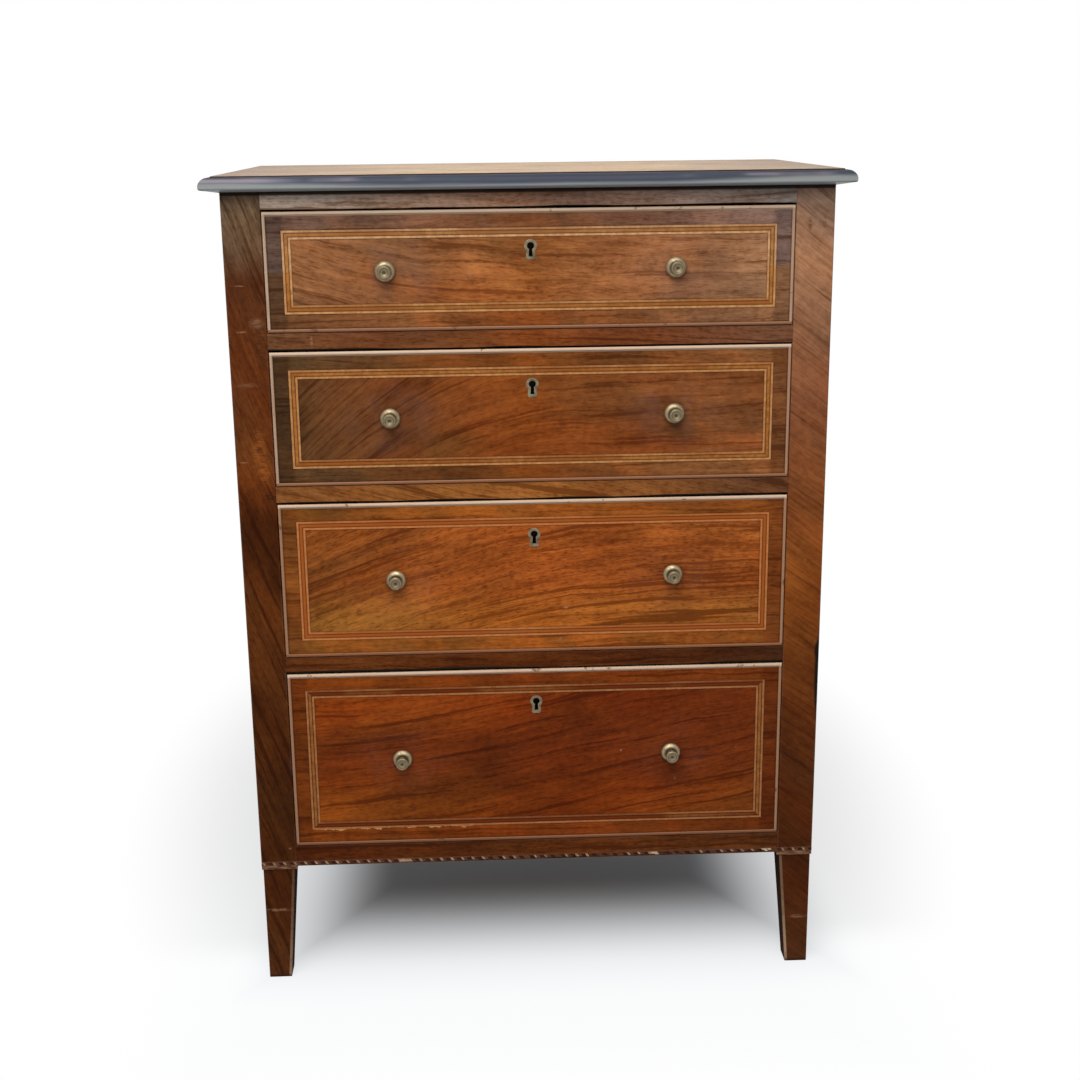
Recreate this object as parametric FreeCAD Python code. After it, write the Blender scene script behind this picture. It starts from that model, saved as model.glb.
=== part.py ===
import FreeCAD, Part
import math
import os
from FreeCAD import Vector

# A four-drawer mahogany chest on square tapered legs, built as a joiner builds it.
# Millimetres, +Z up. The front faces -Y, and the origin is on the floor under the middle of the top.

# Carcass
CARCASS_WIDTH = 720.0
CARCASS_DEPTH = 437.0
CARCASS_ARRIS = 0.8
LEG_HEIGHT = 157.0
POST_SECTION = 46.0
POST_DROP = 4.0
LEG_INSET = 1.6
LEG_TOP_SECTION = 41.0
LEG_FOOT_SECTION = 29.0

# Top board, with a thumb-moulded edge on the front and both sides
TOP_THICKNESS = 19.0
TOP_OVERHANG = 21.0
TOP_UNDERCUT = 3.5
TOP_NOSE_HEIGHT = 5.0
TOP_NOSE_ROUND = 2.4
TOP_FILLET_HEIGHT = 1.6
TOP_THUMB_WIDTH = 13.0
THUMB_BULGE_SHARE = 0.73

# Front rails and their tenons
TOP_RAIL_HEIGHT = 20.2
DRAWER_RAIL_HEIGHT = 20.7
BOTTOM_RAIL_HEIGHT = 28.6
RAIL_DEPTH = 70.0
TENON_LENGTH = 22.0
TENON_SHOULDER = 5.0
RAIL_ARRIS = 0.6

# Side panels, back rails and back boards
PANEL_THICKNESS = 18.0
PANEL_SETBACK = 1.5
PANEL_TONGUE_LENGTH = 9.0
PANEL_TONGUE_THICKNESS = 8.0
BACK_RAIL_THICKNESS = 20.0
BACK_RAIL_HEIGHT = 42.0
BACK_BOARD_THICKNESS = 9.0
BACK_BOARD_COUNT = 5
BACK_BOARD_LAP = 8.0
BACK_BOARD_GAP = 0.6
BACK_REBATE_WIDTH = 11.0

# Runners, guides, kickers and stops inside the carcass
RUNNER_WIDTH = 58.0
RUNNER_STUB_LENGTH = 8.0
RUNNER_STUB_SHOULDER = 6.0
GUIDE_HEIGHT = 16.0
KICKER_WIDTH = 40.0
STOP_LENGTH = 34.0
STOP_DEPTH = 22.0
STOP_HEIGHT = 5.0
STOP_SPACING = 300.0
STOP_GAP = 0.3

# Glue blocks that hold the top to the side panels
BLOCK_COUNT = 3
BLOCK_LENGTH = 60.0
BLOCK_LEG = 22.0

# Rope stringing let into the lower edge of the front
ROPE_HEIGHT = 6.5
ROPE_DEPTH = 2.0
ROPE_RISE = 0.8

# Drawers, from the top one down
DRAWER_1_HEIGHT = 140.5
DRAWER_2_HEIGHT = 163.0
DRAWER_3_HEIGHT = 196.0
DRAWER_4_HEIGHT = 234.0
GAP_ABOVE_FRONT = 2.2
GAP_BELOW_FRONT = 0.8
GAP_BESIDE_FRONT = 1.0
RUNNING_GAP = 0.2
DRAWER_REAR_GAP = 10.0
FRONT_THICKNESS = 20.0
SIDE_THICKNESS = 10.0
SIDE_DROP = 6.0
SIDE_ARRIS = 1.5
BACK_THICKNESS = 9.0
BACK_DROP = 4.0
BOTTOM_THICKNESS = 6.0
BOTTOM_LIFT = 9.0
BOTTOM_GROOVE_IN_SIDE = 4.5
BOTTOM_GROOVE_IN_FRONT = 6.0

# Dovetails at the drawer corners
FRONT_LAP = 7.5
TAIL_PITCH = 44.0
TAIL_COUNT_LEAST = 2
TAIL_SLOPE = 7.0
TAIL_SHARE = 0.62

# Cock bead round each drawer front, and the inlaid band inside it
BEAD_WIDTH = 3.7
BEAD_DEPTH = 6.0
BEAD_PROUD = 1.5
BEAD_NOSE = 0.9
BAND_INSET = 21.5
BAND_LINE_WIDTH = 3.0
BAND_CORE_WIDTH = 4.4
BAND_DEPTH = 2.0

# Turned brass knobs
KNOB_SPACING = 344.0
KNOB_DIAMETER = 24.6
KNOB_PROJECTION = 20.5
KNOB_SHANK_RADIUS = 2.5
KNOB_SHANK_SIDES = 8
KNOB_HOLE_PLAY = 0.15
KNOB_NUT_WIDTH = 10.0
KNOB_NUT_THICKNESS = 3.5
KNOB_SHANK_END = 1.0

# Keyhole escutcheons, locks and bolts
KEY_PIN_DROP = 43.0
KEY_HOLE_RADIUS = 4.2
KEY_HOLE_FLATS = 16
KEY_SLOT_WIDTH = 3.6
KEY_SLOT_FOOT_WIDTH = 4.6
KEY_SLOT_DROP = 12.5
ESCUTCHEON_WALL = 3.6
ESCUTCHEON_DEPTH = 3.0
ESCUTCHEON_PROUD = 0.4
LOCK_PLATE_WIDTH = 62.0
LOCK_PLATE_THICKNESS = 2.0
LOCK_PLATE_BELOW_PIN = 20.0
LOCK_CASE_WIDTH = 46.0
LOCK_CASE_DEPTH = 9.0
LOCK_CASE_WALL = 1.5
LOCK_CASE_BELOW_PIN = 15.0
BOLT_TONGUE_WIDTH = 18.0
BOLT_THROW = 8.0
BOLT_PLAY = 0.3
BOLT_BODY_WIDTH = 34.0
BOLT_ABOVE_PIN = 8.0
BOLT_TALON_WIDTH = 5.0
BOLT_TALON_HEIGHT = 7.0
BOLT_MORTISE_PLAY = 1.2
BOLT_MORTISE_DEPTH = 9.0

# Every cut runs this far past the face that it opens
OVERRUN = 2.0

# Turned outline of the knob, from its foot to its face: shares of its radius and of its projection
KNOB_OUTLINE_SHARES = ((1.0, 0.0), (1.0, 0.16), (0.56, 0.40), (0.60, 1.0))

# Levels and planes that follow from the sizes above
HALF_WIDTH = CARCASS_WIDTH / 2
HALF_OPENING = HALF_WIDTH - POST_SECTION
FRONT_Y = (TOP_OVERHANG - CARCASS_DEPTH) / 2
BACK_Y = FRONT_Y + CARCASS_DEPTH
CARCASS_BOTTOM = LEG_HEIGHT + POST_DROP
DRAWER_HEIGHTS = (DRAWER_1_HEIGHT, DRAWER_2_HEIGHT, DRAWER_3_HEIGHT, DRAWER_4_HEIGHT)
RAIL_TOPS = [CARCASS_BOTTOM + BOTTOM_RAIL_HEIGHT]
for height in reversed(DRAWER_HEIGHTS[1:]):
    opening = GAP_BELOW_FRONT + height + GAP_ABOVE_FRONT
    RAIL_TOPS.insert(0, RAIL_TOPS[0] + opening + DRAWER_RAIL_HEIGHT)
TOP_RAIL_LOW = RAIL_TOPS[0] + GAP_BELOW_FRONT + DRAWER_1_HEIGHT + GAP_ABOVE_FRONT
CARCASS_TOP = TOP_RAIL_LOW + TOP_RAIL_HEIGHT
PANEL_OUTER = HALF_WIDTH - PANEL_SETBACK
PANEL_INNER = PANEL_OUTER - PANEL_THICKNESS
PANEL_FRONT = FRONT_Y + POST_SECTION
PANEL_BACK = BACK_Y - POST_SECTION
RAIL_BACK = FRONT_Y + RAIL_DEPTH
BACK_RAIL_FRONT = BACK_Y - BACK_BOARD_THICKNESS - BACK_RAIL_THICKNESS
HALF_FRONT = HALF_OPENING - GAP_BESIDE_FRONT
HALF_INSIDE = HALF_FRONT - SIDE_THICKNESS
FRONT_INNER_Y = FRONT_Y + FRONT_THICKNESS
DRAWER_REAR = BACK_RAIL_FRONT - DRAWER_REAR_GAP
LOCK_CASE_FRONT = FRONT_INNER_Y - LOCK_PLATE_THICKNESS - LOCK_CASE_DEPTH
LOCK_CAVITY_FRONT = LOCK_CASE_FRONT + LOCK_CASE_WALL
LOCK_CAVITY_BACK = FRONT_INNER_Y - LOCK_PLATE_THICKNESS

X_AXIS = Vector(1, 0, 0)
Y_AXIS = Vector(0, 1, 0)
Z_AXIS = Vector(0, 0, 1)
ORIGIN = Vector()


# Shapes that the pieces are made from

def block(x, y, z):
    """A box between the pairs x, y and z."""
    size = (x[1] - x[0], y[1] - y[0], z[1] - z[0])
    return Part.makeBox(*size, Vector(x[0], y[0], z[0]))


def mirrored(solid):
    """The same piece on the other side of the chest."""
    return solid.mirror(ORIGIN, X_AXIS)


def pair(solid):
    return [solid, mirrored(solid)]


def eased(solid, axis, width):
    """The solid with its straight edges along the axis planed off."""
    along = []
    for edge in solid.Edges:
        run = edge.Vertexes[-1].Point - edge.Vertexes[0].Point
        if run.Length > width and abs(run.normalize().dot(axis)) > 1 - 1e-6:
            along.append(edge)
    return solid.makeChamfer(width, along)


def prism(points, run):
    """A polygon pushed along a vector."""
    return Part.Face(Part.makePolygon(points + points[:1])).extrude(run)


def joined(first, others):
    return first.fuse(others).removeSplitter()


def write(node, solids):
    """One file for each node. A node of several like pieces is a group of separate solids."""
    shape = solids[0] if len(solids) == 1 else Part.makeCompound(solids)
    shape.exportStep(os.path.join("parts", node + ".step"))


# Top board

def thumb_outline(to_point):
    """The moulded edge from its bevelled underside to its fillet, as edges. to_point maps (out, up)."""
    thumb_high = TOP_THICKNESS - TOP_FILLET_HEIGHT
    thumb_in = TOP_OVERHANG - TOP_THUMB_WIDTH
    round_middle = TOP_NOSE_ROUND * (1 - 0.5 ** 0.5)
    bulge_out = thumb_in + TOP_THUMB_WIDTH * THUMB_BULGE_SHARE
    nose_up = TOP_UNDERCUT + TOP_NOSE_HEIGHT
    bulge_up = nose_up + (thumb_high - nose_up) * THUMB_BULGE_SHARE
    under = to_point(0, 0)
    nose_under = to_point(TOP_OVERHANG - TOP_NOSE_ROUND, TOP_UNDERCUT)
    corner = to_point(TOP_OVERHANG - round_middle, TOP_UNDERCUT + round_middle)
    nose_low = to_point(TOP_OVERHANG, TOP_UNDERCUT + TOP_NOSE_ROUND)
    nose_high = to_point(TOP_OVERHANG, nose_up)
    bulge = to_point(bulge_out, bulge_up)
    step_low = to_point(thumb_in, thumb_high)
    step_high = to_point(thumb_in, TOP_THICKNESS)
    edges = [Part.makeLine(under, nose_under)]
    edges.append(Part.Arc(nose_under, corner, nose_low).toShape())
    edges.append(Part.makeLine(nose_low, nose_high))
    edges.append(Part.Arc(nose_high, bulge, step_low).toShape())
    edges.append(Part.makeLine(step_low, step_high))
    return edges, under, step_high


def top_board():
    """Two moulded prisms crossed, which mitres the moulding at the front corners."""
    span = CARCASS_WIDTH + 2 * TOP_OVERHANG
    left = -span / 2
    front = FRONT_Y - TOP_OVERHANG

    edges, under, upper = thumb_outline(lambda out, up: Vector(left, FRONT_Y - out, CARCASS_TOP + up))
    back_high = Vector(left, BACK_Y, CARCASS_TOP + TOP_THICKNESS)
    back_low = Vector(left, BACK_Y, CARCASS_TOP)
    edges.append(Part.makeLine(upper, back_high))
    edges.append(Part.makeLine(back_high, back_low))
    edges.append(Part.makeLine(back_low, under))
    lengthwise = Part.Face(Part.Wire(edges)).extrude(X_AXIS * span)

    edges, under, upper = thumb_outline(lambda out, up: Vector(HALF_WIDTH + out, front, CARCASS_TOP + up))
    middle_high = Vector(0, front, CARCASS_TOP + TOP_THICKNESS)
    middle_low = Vector(0, front, CARCASS_TOP)
    edges.append(Part.makeLine(upper, middle_high))
    edges.append(Part.makeLine(middle_high, middle_low))
    edges.append(Part.makeLine(middle_low, under))
    half = Part.Face(Part.Wire(edges)).extrude(Y_AXIS * (BACK_Y - front))
    return lengthwise.common(joined(half, [mirrored(half)]))


def glue_blocks():
    """Left-hand blocks of triangular section, in the corner of the panel and the top."""
    step = (PANEL_BACK - PANEL_FRONT) / BLOCK_COUNT
    blocks = []
    for index in range(BLOCK_COUNT):
        y = PANEL_FRONT + step * (index + 0.5) - BLOCK_LENGTH / 2
        corner = Vector(-PANEL_INNER, y, CARCASS_TOP)
        points = [corner, corner + X_AXIS * BLOCK_LEG, corner - Z_AXIS * BLOCK_LEG]
        blocks.append(prism(points, Y_AXIS * BLOCK_LENGTH))
    return blocks


# Posts and legs

def section_wire(x, y, z, width):
    """A square at a height with its corners planed off, for the legs."""
    outline = block(x, y, (z, z + LEG_HEIGHT))
    planed = eased(outline, Z_AXIS, width)
    return min(planed.Faces, key=lambda face: face.CenterOfMass.z).OuterWire


def corner_post(y_outer, inward):
    """A left-hand post with its tapered leg. The taper is on the two inner faces, as is usual."""
    def spans(start, size):
        x0 = -HALF_WIDTH + start
        y0 = y_outer + inward * start
        y1 = y0 + inward * size
        return (x0, x0 + size), (min(y0, y1), max(y0, y1))

    body = eased(block(*spans(0, POST_SECTION), (LEG_HEIGHT, CARCASS_TOP)), Z_AXIS, CARCASS_ARRIS)
    leg_top = section_wire(*spans(LEG_INSET, LEG_TOP_SECTION), LEG_HEIGHT, CARCASS_ARRIS)
    leg_foot = section_wire(*spans(LEG_INSET, LEG_FOOT_SECTION), 0, CARCASS_ARRIS)
    leg = Part.makeLoft([leg_foot, leg_top], True, True)
    return joined(body, [leg])


def panel_tongue(end_y, inward):
    """The left-hand panel's tongue at one end. The posts have it as a groove."""
    middle = -PANEL_OUTER + PANEL_THICKNESS / 2
    half = PANEL_TONGUE_THICKNESS / 2
    reach = end_y - inward * PANEL_TONGUE_LENGTH
    y = (min(end_y, reach), max(end_y, reach))
    return block((middle - half, middle + half), y, (CARCASS_BOTTOM, CARCASS_TOP))


def rail_tenon(low, high):
    """The left-hand tenon of a front rail. The post has it as a mortise."""
    x = (-HALF_OPENING - TENON_LENGTH, -HALF_OPENING)
    y = (FRONT_Y + TENON_SHOULDER, PANEL_FRONT - TENON_SHOULDER)
    return block(x, y, (low + TENON_SHOULDER, high - TENON_SHOULDER))


def back_rail_tenon(low, high):
    x = (-HALF_OPENING - TENON_LENGTH, -HALF_OPENING)
    y = (BACK_RAIL_FRONT + TENON_SHOULDER, BACK_Y - BACK_BOARD_THICKNESS - TENON_SHOULDER)
    return block(x, y, (low + TENON_SHOULDER, high - TENON_SHOULDER))


def front_rail_levels():
    """Lowest and highest levels of the front rails, from the top rail down."""
    levels = [(TOP_RAIL_LOW, CARCASS_TOP)]
    levels += [(top - DRAWER_RAIL_HEIGHT, top) for top in RAIL_TOPS[:-1]]
    levels.append((CARCASS_BOTTOM, RAIL_TOPS[-1]))
    return levels


def back_rail_levels():
    upper = (CARCASS_TOP - BACK_RAIL_HEIGHT, CARCASS_TOP)
    lower = (CARCASS_BOTTOM, CARCASS_BOTTOM + BOTTOM_RAIL_HEIGHT)
    return [upper, lower]


def rope_strip():
    z = CARCASS_BOTTOM + ROPE_RISE
    return block((-HALF_WIDTH, HALF_WIDTH), (FRONT_Y, FRONT_Y + ROPE_DEPTH), (z, z + ROPE_HEIGHT))


def front_post():
    mortises = [rail_tenon(*level) for level in front_rail_levels()]
    groove = panel_tongue(PANEL_FRONT, 1)
    return corner_post(FRONT_Y, 1).cut(mortises + [groove, rope_strip()])


def back_post():
    mortises = [back_rail_tenon(*level) for level in back_rail_levels()]
    stubs = [runner_stubs(top)[1] for top in RAIL_TOPS]
    groove = panel_tongue(PANEL_BACK, -1)
    rebate_x = (-HALF_OPENING - BACK_REBATE_WIDTH, -HALF_OPENING + OVERRUN)
    rebate_y = (BACK_Y - BACK_BOARD_THICKNESS, BACK_Y + OVERRUN)
    rebate = block(rebate_x, rebate_y, (CARCASS_BOTTOM, CARCASS_TOP + OVERRUN))
    return corner_post(BACK_Y, -1).cut(mortises + stubs + [groove, rebate])


# Panels, rails and back

def side_panel():
    """The left-hand panel, with a tongue along each upright edge."""
    x = (-PANEL_OUTER, -PANEL_INNER)
    board = block(x, (PANEL_FRONT, PANEL_BACK), (CARCASS_BOTTOM, CARCASS_TOP))
    return joined(board, [panel_tongue(PANEL_FRONT, 1), panel_tongue(PANEL_BACK, -1)])


def bolt_mortise(rail_low):
    """The slot in a rail's underside that the lock bolt below it shoots into."""
    half = BOLT_TONGUE_WIDTH / 2 + BOLT_MORTISE_PLAY
    y = (LOCK_CAVITY_FRONT - BOLT_MORTISE_PLAY, LOCK_CAVITY_BACK + BOLT_MORTISE_PLAY)
    return block((-half, half), y, (rail_low - OVERRUN, rail_low + BOLT_MORTISE_DEPTH))


def front_rail(low, high, cuts):
    """A rail across the front, tenoned into both posts."""
    board = block((-HALF_OPENING, HALF_OPENING), (FRONT_Y, RAIL_BACK), (low, high))
    board = eased(board, X_AXIS, RAIL_ARRIS)
    return joined(board, pair(rail_tenon(low, high))).cut(cuts)


def front_rails():
    """The top rail, the three rails between drawers and the bottom rail."""
    rails = []
    for index, (low, high) in enumerate(front_rail_levels()):
        first, last = index == 0, index == len(DRAWER_HEIGHTS)
        stub = kicker_stubs()[0] if first else runner_stubs(high)[0]
        cuts = pair(stub)
        cuts.append(rope_strip() if last else bolt_mortise(low))
        rails.append(front_rail(low, high, cuts))
    return rails


def back_rail(low, high, cuts):
    y = (BACK_RAIL_FRONT, BACK_Y - BACK_BOARD_THICKNESS)
    board = block((-HALF_OPENING, HALF_OPENING), y, (low, high))
    rail = joined(board, pair(back_rail_tenon(low, high)))
    return rail.cut(cuts) if cuts else rail


def back_rails():
    upper, lower = back_rail_levels()
    return [back_rail(*upper, pair(kicker_stubs()[1])), back_rail(*lower, [])]


def back_boards():
    """Upright half-lapped boards in the rebates of the back posts."""
    half = HALF_OPENING + BACK_REBATE_WIDTH
    width = 2 * half / BACK_BOARD_COUNT
    inner_y = BACK_Y - BACK_BOARD_THICKNESS
    middle_y = BACK_Y - BACK_BOARD_THICKNESS / 2
    z = (CARCASS_BOTTOM, CARCASS_TOP)
    boards = []
    for index in range(BACK_BOARD_COUNT):
        left = -half + width * index
        right = left + width
        lap_in = left + BACK_BOARD_LAP if index else left
        lap_out = right + BACK_BOARD_LAP if index + 1 < BACK_BOARD_COUNT else right
        inner = block((lap_in + (BACK_BOARD_GAP if index else 0), lap_out), (inner_y, middle_y), z)
        outer = block((left + (BACK_BOARD_GAP if index else 0), right), (middle_y, BACK_Y), z)
        boards.append(joined(inner, [outer]))
    return boards


# Runners, guides, kickers and stops

def runner_stubs(top):
    """Left-hand stub tenons of a runner: into the front rail, and into the back post."""
    low = top - DRAWER_RAIL_HEIGHT
    z = (low + RUNNER_STUB_SHOULDER, top - RUNNER_STUB_SHOULDER)
    front_x = (-PANEL_INNER + RUNNER_STUB_SHOULDER, -PANEL_INNER + RUNNER_WIDTH - RUNNER_STUB_SHOULDER)
    front_x = (max(front_x[0], -HALF_OPENING + RUNNER_STUB_SHOULDER), front_x[1])
    back_x = (-PANEL_INNER + RUNNER_STUB_SHOULDER, -HALF_OPENING - RUNNER_STUB_SHOULDER)
    front = block(front_x, (RAIL_BACK - RUNNER_STUB_LENGTH, RAIL_BACK), z)
    back = block(back_x, (PANEL_BACK, PANEL_BACK + RUNNER_STUB_LENGTH), z)
    return front, back


def runner(top):
    """The left-hand bearer that a drawer side slides on, level with the rail in front of it."""
    x = (-PANEL_INNER, -PANEL_INNER + RUNNER_WIDTH)
    bar = block(x, (RAIL_BACK, PANEL_BACK), (top - DRAWER_RAIL_HEIGHT, top))
    return joined(bar, list(runner_stubs(top)))


def guide(top):
    """The left-hand strip on a runner that keeps the drawer straight behind the post."""
    x = (-PANEL_INNER, -HALF_OPENING)
    return block(x, (RAIL_BACK, PANEL_BACK), (top, top + GUIDE_HEIGHT))


def kicker_stubs():
    """Left-hand stub tenons of a kicker: into the top rail, and into the upper back rail."""
    x0 = -HALF_OPENING + RUNNER_STUB_SHOULDER
    x = (x0, -HALF_OPENING + KICKER_WIDTH - RUNNER_STUB_SHOULDER)
    z = (TOP_RAIL_LOW + RUNNER_STUB_SHOULDER, CARCASS_TOP - RUNNER_STUB_SHOULDER)
    front = block(x, (RAIL_BACK - RUNNER_STUB_LENGTH, RAIL_BACK), z)
    back = block(x, (BACK_RAIL_FRONT, BACK_RAIL_FRONT + RUNNER_STUB_LENGTH), z)
    return front, back


def kicker():
    """The left-hand bar over the top drawer, which stops it tipping as it is drawn out."""
    x = (-HALF_OPENING, -HALF_OPENING + KICKER_WIDTH)
    bar = block(x, (RAIL_BACK, BACK_RAIL_FRONT), (TOP_RAIL_LOW, CARCASS_TOP))
    return joined(bar, list(kicker_stubs()))


def stop(top):
    """The left-hand block on a rail that the back of a drawer front comes up against."""
    x = (-STOP_SPACING / 2 - STOP_LENGTH / 2, -STOP_SPACING / 2 + STOP_LENGTH / 2)
    y0 = FRONT_INNER_Y + STOP_GAP
    return block(x, (y0, y0 + STOP_DEPTH), (top, top + STOP_HEIGHT))


# Drawers

class Drawer:
    """The levels of one drawer, and its pieces."""

    def __init__(self, rail_top, height):
        self.low = rail_top + GAP_BELOW_FRONT
        self.high = self.low + height
        self.side_low = rail_top + RUNNING_GAP
        self.side_high = self.high - SIDE_DROP
        self.bottom_low = self.side_low + BOTTOM_LIFT
        self.bottom_high = self.bottom_low + BOTTOM_THICKNESS
        self.back_high = self.side_high - BACK_DROP
        self.knob_z = (self.low + self.high) / 2
        self.pin_z = self.high - KEY_PIN_DROP

    def tails(self, root_y, end_y, low, high):
        """Left-hand dovetails between two levels, wider at end_y than at root_y."""
        count = max(TAIL_COUNT_LEAST, round((high - low) / TAIL_PITCH))
        pitch = (high - low) / count
        half_end = pitch * TAIL_SHARE / 2
        half_root = half_end - abs(end_y - root_y) / TAIL_SLOPE
        shapes = []
        for index in range(count):
            z = low + pitch * (index + 0.5)
            corners = [(root_y, z - half_root), (end_y, z - half_end)]
            corners += [(end_y, z + half_end), (root_y, z + half_root)]
            points = [Vector(-HALF_FRONT, y, level) for y, level in corners]
            shapes.append(prism(points, X_AXIS * SIDE_THICKNESS))
        return shapes

    def front_tails(self):
        return self.tails(FRONT_INNER_Y, FRONT_Y + FRONT_LAP, self.low, self.side_high)

    def back_tails(self):
        return self.tails(DRAWER_REAR - BACK_THICKNESS, DRAWER_REAR, self.bottom_high, self.back_high)

    def bottom(self):
        """The bottom board, which slides in from behind, under the back."""
        half = HALF_INSIDE + BOTTOM_GROOVE_IN_SIDE
        z = (self.bottom_low, self.bottom_high)
        board = block((-half, half), (FRONT_INNER_Y, DRAWER_REAR), z)
        lip_y = (FRONT_INNER_Y - BOTTOM_GROOVE_IN_FRONT, FRONT_INNER_Y)
        return joined(board, [block((-HALF_INSIDE, HALF_INSIDE), lip_y, z)])

    def side(self):
        """The left-hand side, with lapped tails at the front and through tails at the back."""
        x = (-HALF_FRONT, -HALF_INSIDE)
        blank = block(x, (FRONT_INNER_Y, DRAWER_REAR), (self.side_low, self.side_high))
        top_edges = [edge for edge in blank.Edges if edge.BoundBox.ZMin > self.side_high - SIDE_ARRIS]
        top_edges = [edge for edge in top_edges if edge.BoundBox.YLength > SIDE_THICKNESS]
        blank = blank.makeChamfer(SIDE_ARRIS, top_edges)
        back_y = (DRAWER_REAR - BACK_THICKNESS, DRAWER_REAR + OVERRUN)
        back_end = block((x[0] - OVERRUN, x[1] + OVERRUN), back_y, (self.bottom_high, self.back_high))
        pins = back_end.cut(self.back_tails())
        return joined(blank, self.front_tails()).cut([pins, self.bottom()])

    def back(self):
        y = (DRAWER_REAR - BACK_THICKNESS, DRAWER_REAR)
        board = block((-HALF_FRONT, HALF_FRONT), y, (self.bottom_high, self.back_high))
        tails = self.back_tails()
        return board.cut(tails + [mirrored(tail) for tail in tails])

    def front(self):
        """The front board, cut for everything that is let into it."""
        y = (FRONT_Y, FRONT_INNER_Y)
        board = block((-HALF_FRONT, HALF_FRONT), y, (self.low, self.high))
        tails = self.front_tails()
        cuts = tails + [mirrored(tail) for tail in tails]
        cuts += [self.bottom(), self.frame(0, BEAD_WIDTH, BEAD_DEPTH)] + self.band() + self.lock_cuts()
        hole_y = (FRONT_Y - OVERRUN, FRONT_INNER_Y + OVERRUN)
        for centre in self.knob_centres():
            cuts.append(shank(centre, KNOB_SHANK_RADIUS + KNOB_HOLE_PLAY, hole_y))
        return board.cut(cuts)

    def bead_strip(self, outer, inner, across):
        """One mitred strip of bead: its outline from the front, with its nose planed along both edges."""
        back = Y_AXIS * (BEAD_DEPTH + BEAD_PROUD)
        nose_back = Y_AXIS * BEAD_NOSE
        start = outer[0]
        section = [start + nose_back, start + across * BEAD_NOSE, start + across * (BEAD_WIDTH - BEAD_NOSE)]
        section += [start + across * BEAD_WIDTH + nose_back, start + across * BEAD_WIDTH + back, start + back]
        return prism(outer + inner, back).common(prism(section, outer[1] - outer[0]))

    def cock_bead(self):
        """Four strips round the edge of the front: top, bottom, left and right."""
        y = FRONT_Y - BEAD_PROUD
        x, low, high = HALF_FRONT, self.low, self.high
        ix, ilow, ihigh = x - BEAD_WIDTH, low + BEAD_WIDTH, high - BEAD_WIDTH
        corner = [Vector(-x, y, low), Vector(x, y, low), Vector(x, y, high), Vector(-x, y, high)]
        inside = [Vector(-ix, y, ilow), Vector(ix, y, ilow), Vector(ix, y, ihigh), Vector(-ix, y, ihigh)]
        inward = (Z_AXIS, X_AXIS * -1, Z_AXIS * -1, X_AXIS)
        strips = []
        for index, across in enumerate(inward):
            after = (index + 1) % len(corner)
            outer = [corner[index], corner[after]]
            inner = [inside[after], inside[index]]
            strips.append(self.bead_strip(outer, inner, across))
        return strips

    def frame(self, inset, width, depth):
        """A flat frame let into the face, at an inset from the edge of the front."""
        y = (FRONT_Y, FRONT_Y + depth)
        outer_x, outer_z = HALF_FRONT - inset, (self.low + inset, self.high - inset)
        inner_x, inner_z = outer_x - width, (outer_z[0] + width, outer_z[1] - width)
        outer = block((-outer_x, outer_x), y, outer_z)
        return outer.cut(block((-inner_x, inner_x), y, inner_z))

    def band(self):
        """A pale line, a satinwood core and a second pale line."""
        core = BAND_INSET + BAND_LINE_WIDTH
        inner = core + BAND_CORE_WIDTH
        frames = [self.frame(BAND_INSET, BAND_LINE_WIDTH, BAND_DEPTH)]
        frames.append(self.frame(core, BAND_CORE_WIDTH, BAND_DEPTH))
        frames.append(self.frame(inner, BAND_LINE_WIDTH, BAND_DEPTH))
        return frames

    def knob_centres(self):
        return [Vector(x, FRONT_Y, self.knob_z) for x in (-KNOB_SPACING / 2, KNOB_SPACING / 2)]

    def knobs(self):
        """Two turned knobs, and the square nuts on their shanks."""
        knobs = [turned_knob(centre) for centre in self.knob_centres()]
        return knobs + [knob_nut(centre) for centre in self.knob_centres()]

    def keyhole(self, grow, y):
        """A keyhole outline, grown all round, pushed between two planes. Its round is filed in flats."""
        radius = KEY_HOLE_RADIUS + grow
        half_foot = KEY_SLOT_FOOT_WIDTH / 2 + grow
        foot_z = self.pin_z - KEY_SLOT_DROP - grow
        points = [Vector(half_foot, y[0], foot_z), Vector(-half_foot, y[0], foot_z)]
        neck = math.asin((KEY_SLOT_WIDTH / 2 + grow) / radius)
        step = 2 * (math.pi - neck) / KEY_HOLE_FLATS
        for corner in range(KEY_HOLE_FLATS + 1):
            turn = neck + step * corner
            points.append(Vector(-radius * math.sin(turn), y[0], self.pin_z - radius * math.cos(turn)))
        return prism(points, Y_AXIS * (y[1] - y[0]))

    def escutcheon(self):
        y = (FRONT_Y - ESCUTCHEON_PROUD, FRONT_Y + ESCUTCHEON_DEPTH)
        return self.keyhole(ESCUTCHEON_WALL, y).cut(self.keyhole(0, y))

    def lock_shell(self):
        """The lock's outside: a case let into the front, a plate behind it and a plate over the edge."""
        half_plate, half_case = LOCK_PLATE_WIDTH / 2, LOCK_CASE_WIDTH / 2
        edge_z = (self.high - LOCK_PLATE_THICKNESS, self.high)
        plate_y = (LOCK_CAVITY_BACK, FRONT_INNER_Y)
        plate_z = (self.pin_z - LOCK_PLATE_BELOW_PIN, self.high)
        case_z = (self.pin_z - LOCK_CASE_BELOW_PIN, edge_z[0])
        case = block((-half_case, half_case), (LOCK_CASE_FRONT, LOCK_CAVITY_BACK), case_z)
        plate = block((-half_plate, half_plate), plate_y, plate_z)
        edge = block((-half_plate, half_plate), (LOCK_CASE_FRONT, FRONT_INNER_Y), edge_z)
        return joined(case, [plate, edge])

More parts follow.
